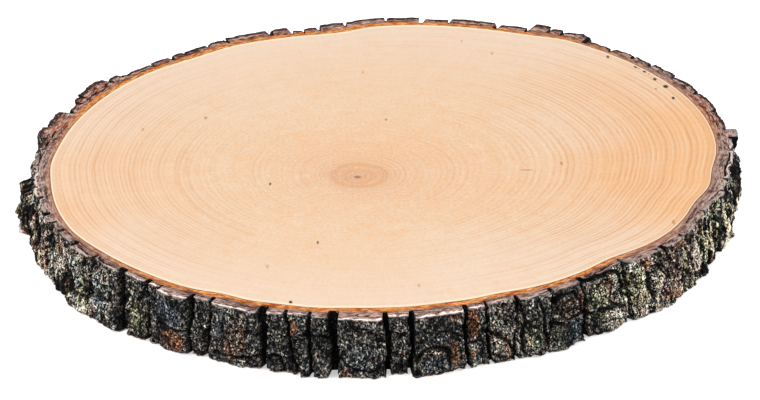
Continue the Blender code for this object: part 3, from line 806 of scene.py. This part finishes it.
def sawn_cap(azimuth, bark, face_height, inwards, strips, split_share):
    """One sawn face of the bark, as rows of points from the fibrous bark out to the rim.

    They are given as azimuth, distance out from the wood, height, depth in a crack, and share of the way out.
    """
    inner = fibre_edge(azimuth)
    t = np.arange(strips)[:, None] / strips
    out = inner + (bark - inner) * t
    at = np.broadcast_to(azimuth, out.shape)
    rough = CAP_ROUGH_BY * noise(at, out, *CAP_ROUGH) + CAP_LUMPS_BY * noise(at, out, *CAP_LUMPS)
    sunk = split_share * split_depth(at, out)
    outer_rim = CAP_WORN_BY * smooth_step(0.5, 1.0, t) * (0.5 + 0.5 * noise(at, out, *CAP_WORN))
    height = np.clip(face_height + inwards * (CAP_SUNK + rough + sunk + outer_rim), 0, THICKNESS)
    return at, out, height, sunk, np.broadcast_to(t, out.shape)


def sawn_colours(azimuth, out):
    """How orange and reddish the sawn bark is, how dark beyond its orange band, and how strong the painted
    highlight at its rim is.
    """
    reach = closed_curve(ORANGE_WIDTH, azimuth)
    reach = reach + BAND_WAVES_BY * noise(azimuth, out, *BAND_WAVES)
    reach = reach + BAND_RAGS_BY * noise(azimuth, out, *BAND_RAGS)
    band = np.clip(closed_curve(ORANGE, azimuth), 0, 1) * (1 - smooth_step(-0.5, 0.5, out - reach))
    seam = 1 - smooth_step(0.3, 1.1, np.abs(out - reach - 0.6))
    seam = seam * np.clip(0.7 + 1.2 * noise(azimuth, out, *SEAM_GAPS), 0, 1)
    return {
        "orange": band,
        "seam": seam,
        "red": np.clip(closed_curve(REDNESS, azimuth), 0, 1),
        "rim": np.clip(closed_curve(PAINTED_HIGHLIGHT_RIM, azimuth), 0, 1),
        "out": out,
    }


def outer_bark():
    """The plates and furrows: a closed ring over the sawn top, down the side, under and up the inner wall."""
    plates, shares = [], []
    for i, plate in enumerate(PLATES):
        width = (PLATES[(i + 1) % len(PLATES)].start - plate.start) % 360 * MM_PER_DEGREE
        count = round(width / COLUMN_STEP)
        plates += [i] * count
        even = (np.arange(count) + 0.5) / count
        shares += (even - COLUMN_CROWDING * np.sin(2 * math.pi * even) / (2 * math.pi)).tolist()
    edge = np.array(EDGE_ROWS)
    between = np.linspace(THICKNESS, 0, SIDE_ROWS + 2)[2:-2]
    heights = np.concatenate([[THICKNESS], THICKNESS - edge, between, edge[::-1], [0.0]])
    plate, height = np.meshgrid(plates, heights)
    share = np.broadcast_to(shares, plate.shape)
    azimuth, bark, furrowed, relief = side_surface(plate, share, height)
    bark = np.maximum(bark - broken_edges(azimuth, height), LEAST_BARK)

    top = sawn_cap(azimuth[0], bark[0], THICKNESS, -1, TOP_STRIPS, 1.0)
    under = [rows[::-1] for rows in sawn_cap(azimuth[-1], bark[-1], 0.0, 1, BOTTOM_STRIPS, 0.5)]
    at, out, level = (np.concatenate(rows) for rows in zip(top[:3], (azimuth, bark, height), under[:3]))

    def attribute(on_top, on_side, below):
        rows = zip((top[1], bark, under[1]), (on_top, on_side, below))
        return np.concatenate([np.broadcast_to(values, like.shape) for like, values in rows])

    from_face = np.minimum(THICKNESS - height, height)
    cut_tone = [noise(rows[0], rows[1], *CAP_TONE) for rows in (top, under)]
    attributes = {
        "sawn": attribute(1.0, 0.5 * (1 - smooth_step(0.05, 0.4, from_face)), 1.0),
        # Painted shade: in the cracks of the sawn faces, and on the side in cracks, under flake edges and in
        # furrows
        "dark": attribute(np.clip(top[3], 0, 1), np.maximum(relief.dark, furrowed), np.clip(under[3], 0, 1)),
        "tone": attribute(cut_tone[0], relief.tone, cut_tone[1]),
        "rise": attribute(0.0, relief.rise, 0.0),
        "edge": attribute(top[4], 1.0, under[4]),
        "flank": attribute(0.0, flank(azimuth), 0.0),
        **sawn_colours(at, out),
    }
    for tint in PATCHES:
        attributes[tint] = attribute(0.0, tint_share(tint, azimuth, height), 0.0)
    points = placed(wood_radius(at) + out, at, level)
    return mesh_object("outer_bark", points, ring_faces(*at.shape), attributes)


def inner_bark():
    """The brown fibrous layer next to the wood: a closed ring."""
    azimuth = np.arange(FIBRE_COLUMNS) * 360 / FIBRE_COLUMNS
    out = fibre_edge(azimuth) * np.linspace(0, 1, FIBRE_STRIPS + 1)[:, None] + FIBRE_GAP
    at = np.broadcast_to(azimuth, out.shape)
    rough = FIBRE_ROUGH_BY * noise(at, out, *FIBRE_ROUGH) + FIBRE_ROUGH_BY * noise(at, out, *FIBRE_LUMPS)
    at = np.concatenate([at, at[:2]])
    out = np.concatenate([out, out[[-1, 0]]])
    level = np.concatenate([THICKNESS - FIBRE_SUNK - rough, np.full((2, FIBRE_COLUMNS), FIBRE_FOOT)])
    points = placed(wood_radius(at) + out, at, level)
    return mesh_object("inner_bark", points, ring_faces(*at.shape), sawn_colours(at, out))


def wood():
    """The wood: both sawn faces as rings round the pith, joined at the edge, with each point's growth."""
    azimuth = np.arange(WOOD_COLUMNS) * 360 / WOOD_COLUMNS
    growth = (np.arange(WOOD_ROWS)[:, None] + 1) / WOOD_ROWS
    radius = wood_radius(azimuth)
    radius = radius.mean() + (radius - radius.mean()) * growth**2
    wide_x = radius * np.cos(np.radians(azimuth)) - PITH[0]
    wide_y = radius * np.sin(np.radians(azimuth)) - PITH[1]
    x, y = PITH[0] + wide_x * growth, PITH[1] + wide_y * growth
    count, rings = np.array(RING_COUNTS).T
    ring = np.interp(growth, count, rings) + 0 * x
    for rise, across, along, seed in RING_WAVES:
        waves = noise(azimuth + 0 * ring, growth + 0 * ring, across, along, seed, 1.0)
        ring = ring + rise * waves * np.sqrt(growth)

    from_centre, at = np.hypot(x, y), np.degrees(np.arctan2(y, x))
    pith = np.array([[math.hypot(*PITH)], [math.degrees(math.atan2(PITH[1], PITH[0]))]])
    low = placed(from_centre, at, 0.0).reshape(-1, 3)
    high = placed(from_centre, at, THICKNESS)[::-1].reshape(-1, 3)
    tips = np.concatenate([placed(*pith, 0.0), placed(*pith, THICKNESS)])
    index = np.arange(2 * WOOD_ROWS * WOOD_COLUMNS).reshape(2 * WOOD_ROWS, WOOD_COLUMNS)
    below, above = index[:-1], index[1:]
    quads = np.stack([below, np.roll(below, -1, 1), np.roll(above, -1, 1), above], axis=-1).reshape(-1, 4)
    tip = index.size
    faces = quads.tolist()
    faces += [(tip, b, a) for a, b in zip(index[0].tolist(), np.roll(index[0], -1).tolist())]
    faces += [(tip + 1, a, b) for a, b in zip(index[-1].tolist(), np.roll(index[-1], -1).tolist())]
    rows = np.broadcast_to(growth, x.shape)
    inwards = (1 - growth) * np.hypot(wide_x, wide_y)[-1] / closed_curve(CREAM_WIDTH, azimuth)
    attributes = {
        "inwards": np.concatenate([inwards.ravel(), inwards[::-1].ravel(), [99, 99]]),
        "growth": np.concatenate([rows.ravel(), rows[::-1].ravel(), [0, 0]]),
        "rings": np.concatenate([ring.ravel(), ring[::-1].ravel(), [0, 0]]),
    }
    return mesh_object("wood", np.concatenate([low, high, tips]), faces, attributes)


class Nodes:
    """Short calls for building one material's node tree."""

    def __init__(self, name):
        self.material = bpy.data.materials.new(name)
        self.material.use_nodes = True
        self.tree = self.material.node_tree
        self.shader = self.tree.nodes["Principled BSDF"]

    def put(self, socket, value):
        if isinstance(value, bpy.types.NodeSocket):
            self.tree.links.new(value, socket)
        elif isinstance(value, tuple) and socket.type == "RGBA":
            socket.default_value = (*value, 1)
        else:
            socket.default_value = value

    def math(self, operation, a, b=None):
        node = self.tree.nodes.new("ShaderNodeMath")
        node.operation = operation
        self.put(node.inputs[0], a)
        if b is not None:
            self.put(node.inputs[1], b)
        return node.outputs[0]

    def times(self, *values):
        product = values[0]
        for value in values[1:]:
            product = self.math("MULTIPLY", product, value)
        return product

    def plus(self, a, b):
        return self.math("ADD", a, b)

    def minus(self, a, b):
        return self.math("SUBTRACT", a, b)

    def centred(self, value, by):
        """A number from 0 to 1, such as a noise, moved to lie about 0 and scaled."""
        return self.times(self.minus(value, 0.5), by)

    def away(self, value, middle):
        return self.math("ABSOLUTE", self.minus(value, middle))

    def attribute(self, name):
        node = self.tree.nodes.new("ShaderNodeAttribute")
        node.attribute_name = name
        return node.outputs["Fac"]

    def place(self):
        """The point's own place on the object, in metres."""
        return self.tree.nodes.new("ShaderNodeTexCoord").outputs["Object"]

    def vector(self, operation, a, b=None, output=0):
        node = self.tree.nodes.new("ShaderNodeVectorMath")
        node.operation = operation
        self.put(node.inputs[0], a)
        if b is not None:
            self.put(node.inputs[1], b)
        return node.outputs[output]

    def flat(self, vector):
        return self.vector("MULTIPLY", vector, (1, 1, 0))

    def direction(self, vector):
        return self.vector("NORMALIZE", vector)

    def distance(self, place, spot):
        """How far points are from a spot, over the ground."""
        return self.vector("DISTANCE", self.flat(place), spot, "Value")

    def alike(self, one, other):
        """The cosine of the angle between two directions."""
        return self.vector("DOT_PRODUCT", one, other, "Value")

    def upwards(self, value):
        node = self.tree.nodes.new("ShaderNodeCombineXYZ")
        self.put(node.inputs[2], value)
        return node.outputs[0]

    def distance(self, place, spot):
        """How far points are from a spot, over the ground."""
        node = self.tree.nodes.new("ShaderNodeVectorMath")
        node.operation = "DISTANCE"
        self.put(node.inputs[0], self.flat(place))
        self.put(node.inputs[1], spot)
        return node.outputs["Value"]

    def alike(self, one, other):
        """The cosine of the angle between two directions."""
        node = self.tree.nodes.new("ShaderNodeVectorMath")
        node.operation = "DOT_PRODUCT"
        self.put(node.inputs[0], one)
        self.put(node.inputs[1], other)
        return node.outputs["Value"]

    def axes(self, vector):
        node = self.tree.nodes.new("ShaderNodeSeparateXYZ")
        self.put(node.inputs[0], vector)
        return node.outputs

    def fill(self, node, values):
        for key, value in values.items():
            self.put(node.inputs[key], value)

    def noise(self, vector, scale, detail, roughness=0.55):
        node = self.tree.nodes.new("ShaderNodeTexNoise")
        self.fill(node, {"Vector": vector, "Scale": scale, "Detail": detail, "Roughness": roughness})
        return node.outputs["Fac"]

    def noise_along(self, value, scale):
        node = self.tree.nodes.new("ShaderNodeTexNoise")
        node.noise_dimensions = "1D"
        self.fill(node, {"W": value, "Scale": scale, "Detail": 1.0})
        return node.outputs["Fac"]

    def grains(self, vector, scale):
        """Grains of random size: two random numbers for each grain, and the distance from its middle."""
        node = self.tree.nodes.new("ShaderNodeTexVoronoi")
        self.fill(node, {"Vector": vector, "Scale": scale})
        split = self.tree.nodes.new("ShaderNodeSeparateColor")
        self.put(split.inputs[0], node.outputs["Color"])
        return split.outputs[0], split.outputs[1], node.outputs["Distance"]

    def ramp(self, value, low, high, to_low=0.0, to_high=1.0):
        """A smooth change from one number to the other where the value goes from low to high."""
        node = self.tree.nodes.new("ShaderNodeMapRange")
        node.interpolation_type = "SMOOTHSTEP"
        ends = {"From Min": low, "From Max": high, "To Min": to_low, "To Max": to_high}
        self.fill(node, {"Value": value, **ends})
        return node.outputs[0]

    def colours(self, value, stops):
        node = self.tree.nodes.new("ShaderNodeValToRGB")
        ramp = node.color_ramp
        for position, _ in stops[2:]:
            ramp.elements.new(position)
        for element, (position, colour) in zip(ramp.elements, stops):
            element.position = position
            element.color = (*colour, 1)
        self.put(node.inputs[0], value)
        return node.outputs[0]

    def mix(self, share, a, b, blend="MIX"):
        node = self.tree.nodes.new("ShaderNodeMix")
        node.data_type = "RGBA"
        node.blend_type = blend
        node.clamp_result = blend != "MIX"
        for socket, value in ((node.inputs[0], share), (node.inputs[6], a), (node.inputs[7], b)):
            self.put(socket, value)
        return node.outputs[2]

    def tinted(self, share, colour, tint):
        """The colour multiplied by a tint, so its grains stay as bright and dark as they were."""
        return self.mix(share, colour, tint, "MULTIPLY")

    def speckled(self, colour, share, number, half, tints):
        """The colour with a tint for each grain whose random number is within half of that tint's."""
        for middle, tint in tints:
            picked = self.math("LESS_THAN", self.away(number, middle), half)
            colour = self.tinted(self.times(share, picked), colour, tint)
        return colour

    def bump(self, height, strength, distance):
        node = self.tree.nodes.new("ShaderNodeBump")
        self.fill(node, {"Strength": strength, "Distance": distance, "Height": height})
        self.put(self.shader.inputs["Normal"], node.outputs[0])

    def finish(self, colour, roughness, specular):
        self.fill(self.shader, {"Base Color": colour, "Roughness": roughness, "Specular IOR Level": specular})
        return self.material


def wood_material():
    n = Nodes("wood")
    place = n.place()
    x, y, _ = n.axes(place)
    growth, rings = n.attribute("growth"), n.attribute("rings")

    # Darker and pinker to the pith, and more orange or paler in places
    colour = n.colours(growth, WOOD_STOPS)
    blotches = n.ramp(n.noise(place, BLOTCHES, 3.0), 0.3, 0.7, 0.6, 1.2)
    for centre, full, none, strong, kind in SPOTS:
        near = n.ramp(n.distance(place, spot_on_face(*centre)), none * MM, full * MM, 0.0, strong)
        colour = n.mix(n.times(near, blotches), colour, WOOD_ORANGE if kind == "orange" else WOOD_PALE)

    # The wood is livelier about its middle than under the bark
    lively = n.ramp(growth, 0.9, 0.35, 0.4, 1.0)
    mottled = n.noise(place, MOTTLES, 5.0, 0.75)
    colour = n.mix(n.times(lively, 0.7, n.ramp(mottled, 0.5, 0.7)), colour, WOOD_ORANGE)
    colour = n.mix(n.times(lively, 0.35, n.ramp(mottled, 0.5, 0.3)), colour, WOOD_EARLY)

    # Rings: each year darkens into a thin line, with a fainter one half a year on
    ring = n.plus(rings, n.centred(n.noise(place, RING_WOBBLE, 3.0), 0.6))
    share = n.math("FRACT", ring)
    line = n.times(n.ramp(share, 0.56, 0.86), n.ramp(share, 1.0, 0.9))
    between = n.math("FRACT", n.times(n.plus(ring, 0.25), 2.0))
    between = n.times(n.ramp(between, 0.5, 0.8), n.ramp(between, 1.0, 0.85))
    line = n.math("MAXIMUM", line, n.times(between, 0.55))
    light = n.times(n.ramp(share, 0.0, 0.08), n.ramp(share, 0.4, 0.1))

    # Their strength differs by year and place. It grows outwards and to both sides, most to the right.
    year = n.ramp(n.noise_along(n.math("FLOOR", ring), 0.73), 0.34, 0.66, 0.45, 1.05)
    patch = n.ramp(n.noise(place, RING_PATCHES, 5.0, 0.65), 0.36, 0.6, 0.35, 1.0)
    outwards = n.ramp(growth, 0.3, 0.8, 0.45, 1.25)
    around = n.direction(n.vector("SUBTRACT", n.flat(place), spot_on_face(*PITH)))
    right = n.alike(around, (1, 0, 0))
    sideways = n.ramp(n.math("ABSOLUTE", right), 0.35, 0.9, 0.35, 1.3)
    sideways = n.times(sideways, n.ramp(right, -0.6, 0.6, 0.95, 1.3))
    strength = n.times(year, patch, sideways, outwards)
    strength = n.math("MAXIMUM", strength, n.ramp(growth, 0.17, 0.12, 0.0, 0.75))
    colour = n.mix(n.times(line, strength, 0.36), colour, WOOD_LATE)
    colour = n.mix(n.times(light, strength, 0.26), colour, WOOD_EARLY)
    band = n.times(n.ramp(n.noise_along(ring, 0.55), 0.42, 0.66), sideways, outwards)
    colour = n.mix(n.times(band, 0.11), colour, WOOD_LATE)

    # Rays: faint fibres that run out from the pith
    rays = n.noise(n.vector("ADD", around, n.upwards(n.times(growth, 0.12))), 90.0, 2.0, 0.7)
    colour = n.mix(n.ramp(rays, 0.5, 0.75, 0.0, 0.08), colour, WOOD_LATE)
    colour = n.mix(n.ramp(rays, 0.5, 0.25, 0.0, 0.08), colour, WOOD_EARLY)

    # Strong arcs, and the pith's dark spot
    for middle, azimuth, half, strong in ARCS:
        arc = n.ramp(n.away(growth, middle), 0.0045, 0.0015, 0.0, strong)
        if half < 180:
            towards = (math.cos(math.radians(azimuth)), math.sin(math.radians(azimuth)), 0)
            ends = (math.cos(math.radians(half)), math.cos(math.radians(half * 0.6)))
            arc = n.times(arc, n.ramp(n.alike(around, towards), *ends))
        colour = n.mix(arc, colour, WOOD_LATE)
    colour = n.mix(n.ramp(growth, 0.014, 0.005, 0.0, 0.8), colour, PITH_SPOT)

    # Pores, fine fibre and small marks
    pores = n.noise(place, PORES, 4.0, 0.8)
    colour = n.mix(n.times(lively, 0.45, n.ramp(pores, 0.5, 0.7)), colour, WOOD_LATE)
    colour = n.mix(n.times(lively, 0.6, n.ramp(pores, 0.5, 0.3)), colour, WOOD_EARLY)
    for mark_x, mark_y, half_x, half_y, strong, kind in MARKS:
        at = spot_on_face(mark_x, mark_y)
        dx = n.math("DIVIDE", n.minus(x, at[0]), half_x * MM)
        dy = n.math("DIVIDE", n.minus(y, at[1]), half_y * MM)
        far = n.plus(n.times(dx, dx), n.times(dy, dy))
        colour = n.mix(n.ramp(far, 1.6, 0.2, 0.0, strong), colour, MARK_TAN if kind == "tan" else MARK_DARK)

    # The last growth under the bark is almost white
    colour = n.mix(n.ramp(n.attribute("inwards"), 1.2, 0.8, 0.0, 0.85), colour, CAMBIUM)
    n.bump(n.plus(line, pores), 0.1, 0.0002)
    return n.finish(colour, n.ramp(pores, 0.2, 0.8, 0.5, 0.62), 0.25)


def sawn_bark(n, place, fleck):
    """The colour of bark that is sawn across: an orange fibrous band, then mauve, brown and reddish bark."""
    out, orange, red, seam = (n.attribute(name) for name in ("out", "orange", "red", "seam"))
    rim = n.vector("MULTIPLY", n.direction(n.flat(place)), (CUT_ALONG * MIDDLE_RADIUS * MM,) * 3)
    along = n.vector("ADD", rim, n.upwards(n.times(out, CUT_ACROSS * MM)))
    streak = n.noise(along, CUT_STREAKS, 4.0, 0.7)
    first, second, _ = n.grains(along, CUT_GRAINS)

    # Bark in layers, and grains that are stronger where it is reddish or far out
    colour = n.mix(n.ramp(fleck, 0.35, 0.65), CUT_MAUVE, CUT_BROWN)
    colour = n.mix(n.times(red, n.ramp(streak, 0.36, 0.54)), colour, CUT_RED)
    layer = n.noise(along, CUT_LAYERS, 3.0, 0.7)
    colour = n.mix(n.ramp(layer, 0.53, 0.58, 0.0, 0.8), colour, CUT_PINK)
    colour = n.mix(n.ramp(layer, 0.48, 0.43, 0.0, 0.9), colour, CUT_UMBER)
    colour = n.mix(n.times(seam, n.ramp(streak, 0.62, 0.5, 0.2, 0.9)), colour, CUT_DARK)
    rough = n.math("MAXIMUM", red, n.ramp(out, 3.0, 6.0, 0.3, 1.0))
    colour = n.mix(n.times(rough, n.ramp(first, 0.68, 0.8, 0.0, 0.9)), colour, CUT_PINK)
    colour = n.mix(n.times(rough, n.ramp(first, 0.36, 0.24, 0.0, 0.9)), colour, CUT_DARK)
    colour = n.mix(n.times(red, n.ramp(second, 0.74, 0.84, 0.0, 0.8)), colour, FIBRE_RUST)
    colour = n.mix(n.ramp(out, 1.6, 0.9, 0.0, 0.5), colour, FIBRE_BROWN)

    # The orange band, and a brown line next to the wood
    band = n.mix(n.ramp(streak, 0.52, 0.57, 0.0, 0.9), FIBRE_ORANGE, FIBRE_LIGHT)
    band = n.mix(n.ramp(streak, 0.49, 0.44, 0.0, 0.95), band, FIBRE_RUST)
    band = n.mix(n.ramp(second, 0.25, 0.08, 0.0, 0.6), band, FIBRE_DARK)
    colour = n.mix(orange, colour, band)
    return n.mix(n.ramp(out, 0.55, 0.2, 0.0, 0.75), colour, FIBRE_LINE)


def inner_bark_material():
    n = Nodes("inner_bark")
    place = n.place()
    fleck = n.noise(place, FLECKS, 3.0, 0.7)
    n.bump(fleck, 0.5, 0.0004)
    return n.finish(sawn_bark(n, place, fleck), 0.8, 0.2)


def outer_bark_material():
    n = Nodes("bark")
    place = n.place()
    sawn, dark, tone, rise, edge = (n.attribute(name) for name in ("sawn", "dark", "tone", "rise", "edge"))
    sides, pale = n.attribute("flank"), n.attribute("pale")

    # Weathered side: grains from black to nearly white, and strands at the left and the right
    medium = n.noise(place, SIDE_PATCHES, 3.0, 0.65)
    first, second, far = n.grains(n.vector("MULTIPLY", place, SIDE_STRETCH), SIDE_GRAINS)
    fine, hue, _ = n.grains(place, FINE_GRAINS)
    strand, strand_hue, _ = n.grains(n.vector("MULTIPLY", place, STRAND_STRETCH), STRANDS)
    level = n.plus(n.times(first, 0.77), n.times(fine, 0.23))
    level = n.plus(level, n.centred(medium, 0.2))
    level = n.plus(level, n.times(tone, 0.08))
    level = n.plus(level, n.times(sides, n.minus(strand, 0.5), 0.85))
    level = n.plus(level, n.times(pale, n.ramp(level, 0.36, 0.58, -0.12, 0.44)))
    side = n.colours(level, BARK_LEVELS)

    # Its tints, grain by grain and in patches
    hues = ((0.14, HUE_BLUE), (0.3, HUE_BROWN), (0.42, HUE_OLIVE), (0.52, HUE_RED))
    side = n.speckled(side, 1.0, hue, 0.06, hues)
    for name, tint in (("olive", HUE_OLIVE), ("blue", HUE_BLUE), ("brown", HUE_BROWN), ("rose", HUE_ROSE)):
        side = n.tinted(n.times(n.attribute(name), n.ramp(second, 0.1, 0.5, 0.4, 1.0)), side, tint)
    side = n.speckled(side, pale, second, 0.07, ((0.7, HUE_STRAW), (0.85, HUE_ROSE)))
    strand_hues = ((0.2, HUE_ROSE), (0.4, HUE_SLATE), (0.6, HUE_OLIVE), (0.8, HUE_BROWN))
    side = n.speckled(side, sides, strand_hue, 0.08, strand_hues)
    rust = n.mix(n.ramp(level, 0.35, 0.85), RUST_BROWN, RUST_ORANGE)
    side = n.mix(n.times(n.attribute("rust"), n.ramp(second, 0.3, 0.6, 0.15, 0.9)), side, rust)

    # Black in dark flakes and patches, and painted shade in hollows, furrows and cracks
    side = n.mix(n.ramp(tone, -0.1, -1.1, 0.0, 0.92), side, BARK_BLACK)
    side = n.mix(n.ramp(rise, -0.3, -1.6, 0.0, 0.4), side, BARK_BLACK)
    side = n.mix(n.times(n.attribute("black"), 0.85), side, BARK_BLACK)
    shade = n.plus(dark, n.centred(fine, 0.5))
    side = n.mix(n.ramp(shade, 0.2, 0.8, 0.0, 0.95), side, BARK_BLACK)

    # Sawn face: darker in patches, painted shade in its cracks, and at its rim weathered dark turning to a
    # painted highlight where the rim curve is high
    cut = n.mix(n.ramp(tone, 0.3, 0.8, 0.0, 0.5), sawn_bark(n, place, medium), CUT_DARK)
    # The outer part of the sawn face: weathered dark where the rim curve is low, a pale painted highlight
    # where it is high
    outer_rim = n.ramp(n.plus(edge, n.centred(medium, 0.7)), 0.78, 0.84)
    cut = n.mix(n.times(outer_rim, 0.95), cut, n.mix(n.attribute("rim"), CUT_DARK, CUT_HIGHLIGHT))
    cut = n.mix(n.ramp(dark, 0.25, 0.8, 0.0, 0.97), cut, BARK_BLACK)
    n.bump(n.plus(n.times(medium, 0.6), n.times(far, -0.5)), 0.7, 0.0006)
    return n.finish(n.mix(sawn, side, cut), 0.9, 0.08)


def floor():
    """A plain pale floor, which glows a little as a lit table does."""
    corners = [(x * FLOOR_HALF, y * FLOOR_HALF, 0) for x, y in ((-1, -1), (1, -1), (1, 1), (-1, 1))]
    mesh = bpy.data.meshes.new("floor")
    mesh.from_pydata(corners, [], [(0, 1, 2, 3)])
    made = bpy.data.objects.new("floor", mesh)
    made.location.z = -FLOOR_GAP
    bpy.context.scene.collection.objects.link(made)
    n = Nodes("floor")
    n.fill(n.shader, {"Emission Color": FLOOR_COLOUR, "Emission Strength": FLOOR_GLOW})
    mesh.materials.append(n.finish(FLOOR_COLOUR, 0.9, 0.1))


def area_light(name, place, size, power):
    """A soft square light that faces the slice."""
    data = bpy.data.lights.new(name, "AREA")
    data.size = size
    data.energy = power
    made = bpy.data.objects.new(name, data)
    made.location = place
    made.rotation_euler = (-Vector(place)).to_track_quat("-Z", "Y").to_euler()
    bpy.context.scene.collection.objects.link(made)


def studio():
    world = bpy.data.worlds.new("studio")
    world.use_nodes = True
    sky = world.node_tree.nodes["Background"]
    sky.inputs["Color"].default_value = (1, 1, 1, 1)
    sky.inputs["Strength"].default_value = SKY
    bpy.context.scene.world = world
    for light in LIGHTS:
        area_light(*light)
    bpy.context.scene.view_settings.view_transform = "Standard"


def camera():
    data = bpy.data.cameras.new("camera")
    data.sensor_width = 36
    data.lens = CAMERA_LENS
    made = bpy.data.objects.new("camera", data)
    pitch = math.radians(CAMERA_PITCH)
    made.location = Vector(CAMERA_AIM) + CAMERA_DISTANCE * Vector((0, -math.cos(pitch), math.sin(pitch)))
    made.rotation_euler = (math.pi / 2 - pitch, 0, 0)
    bpy.context.scene.collection.objects.link(made)
    bpy.context.scene.camera = made


def main():
    camera()
    studio()
    floor()
    for piece, slot, finish in (
        (wood(), "wood", wood_material()),
        (inner_bark(), "inner_bark", inner_bark_material()),
        (outer_bark(), "bark", outer_bark_material()),
    ):
        piece.data.materials.append(finish)
        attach(piece, BODY)
        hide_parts(NODE)


main()
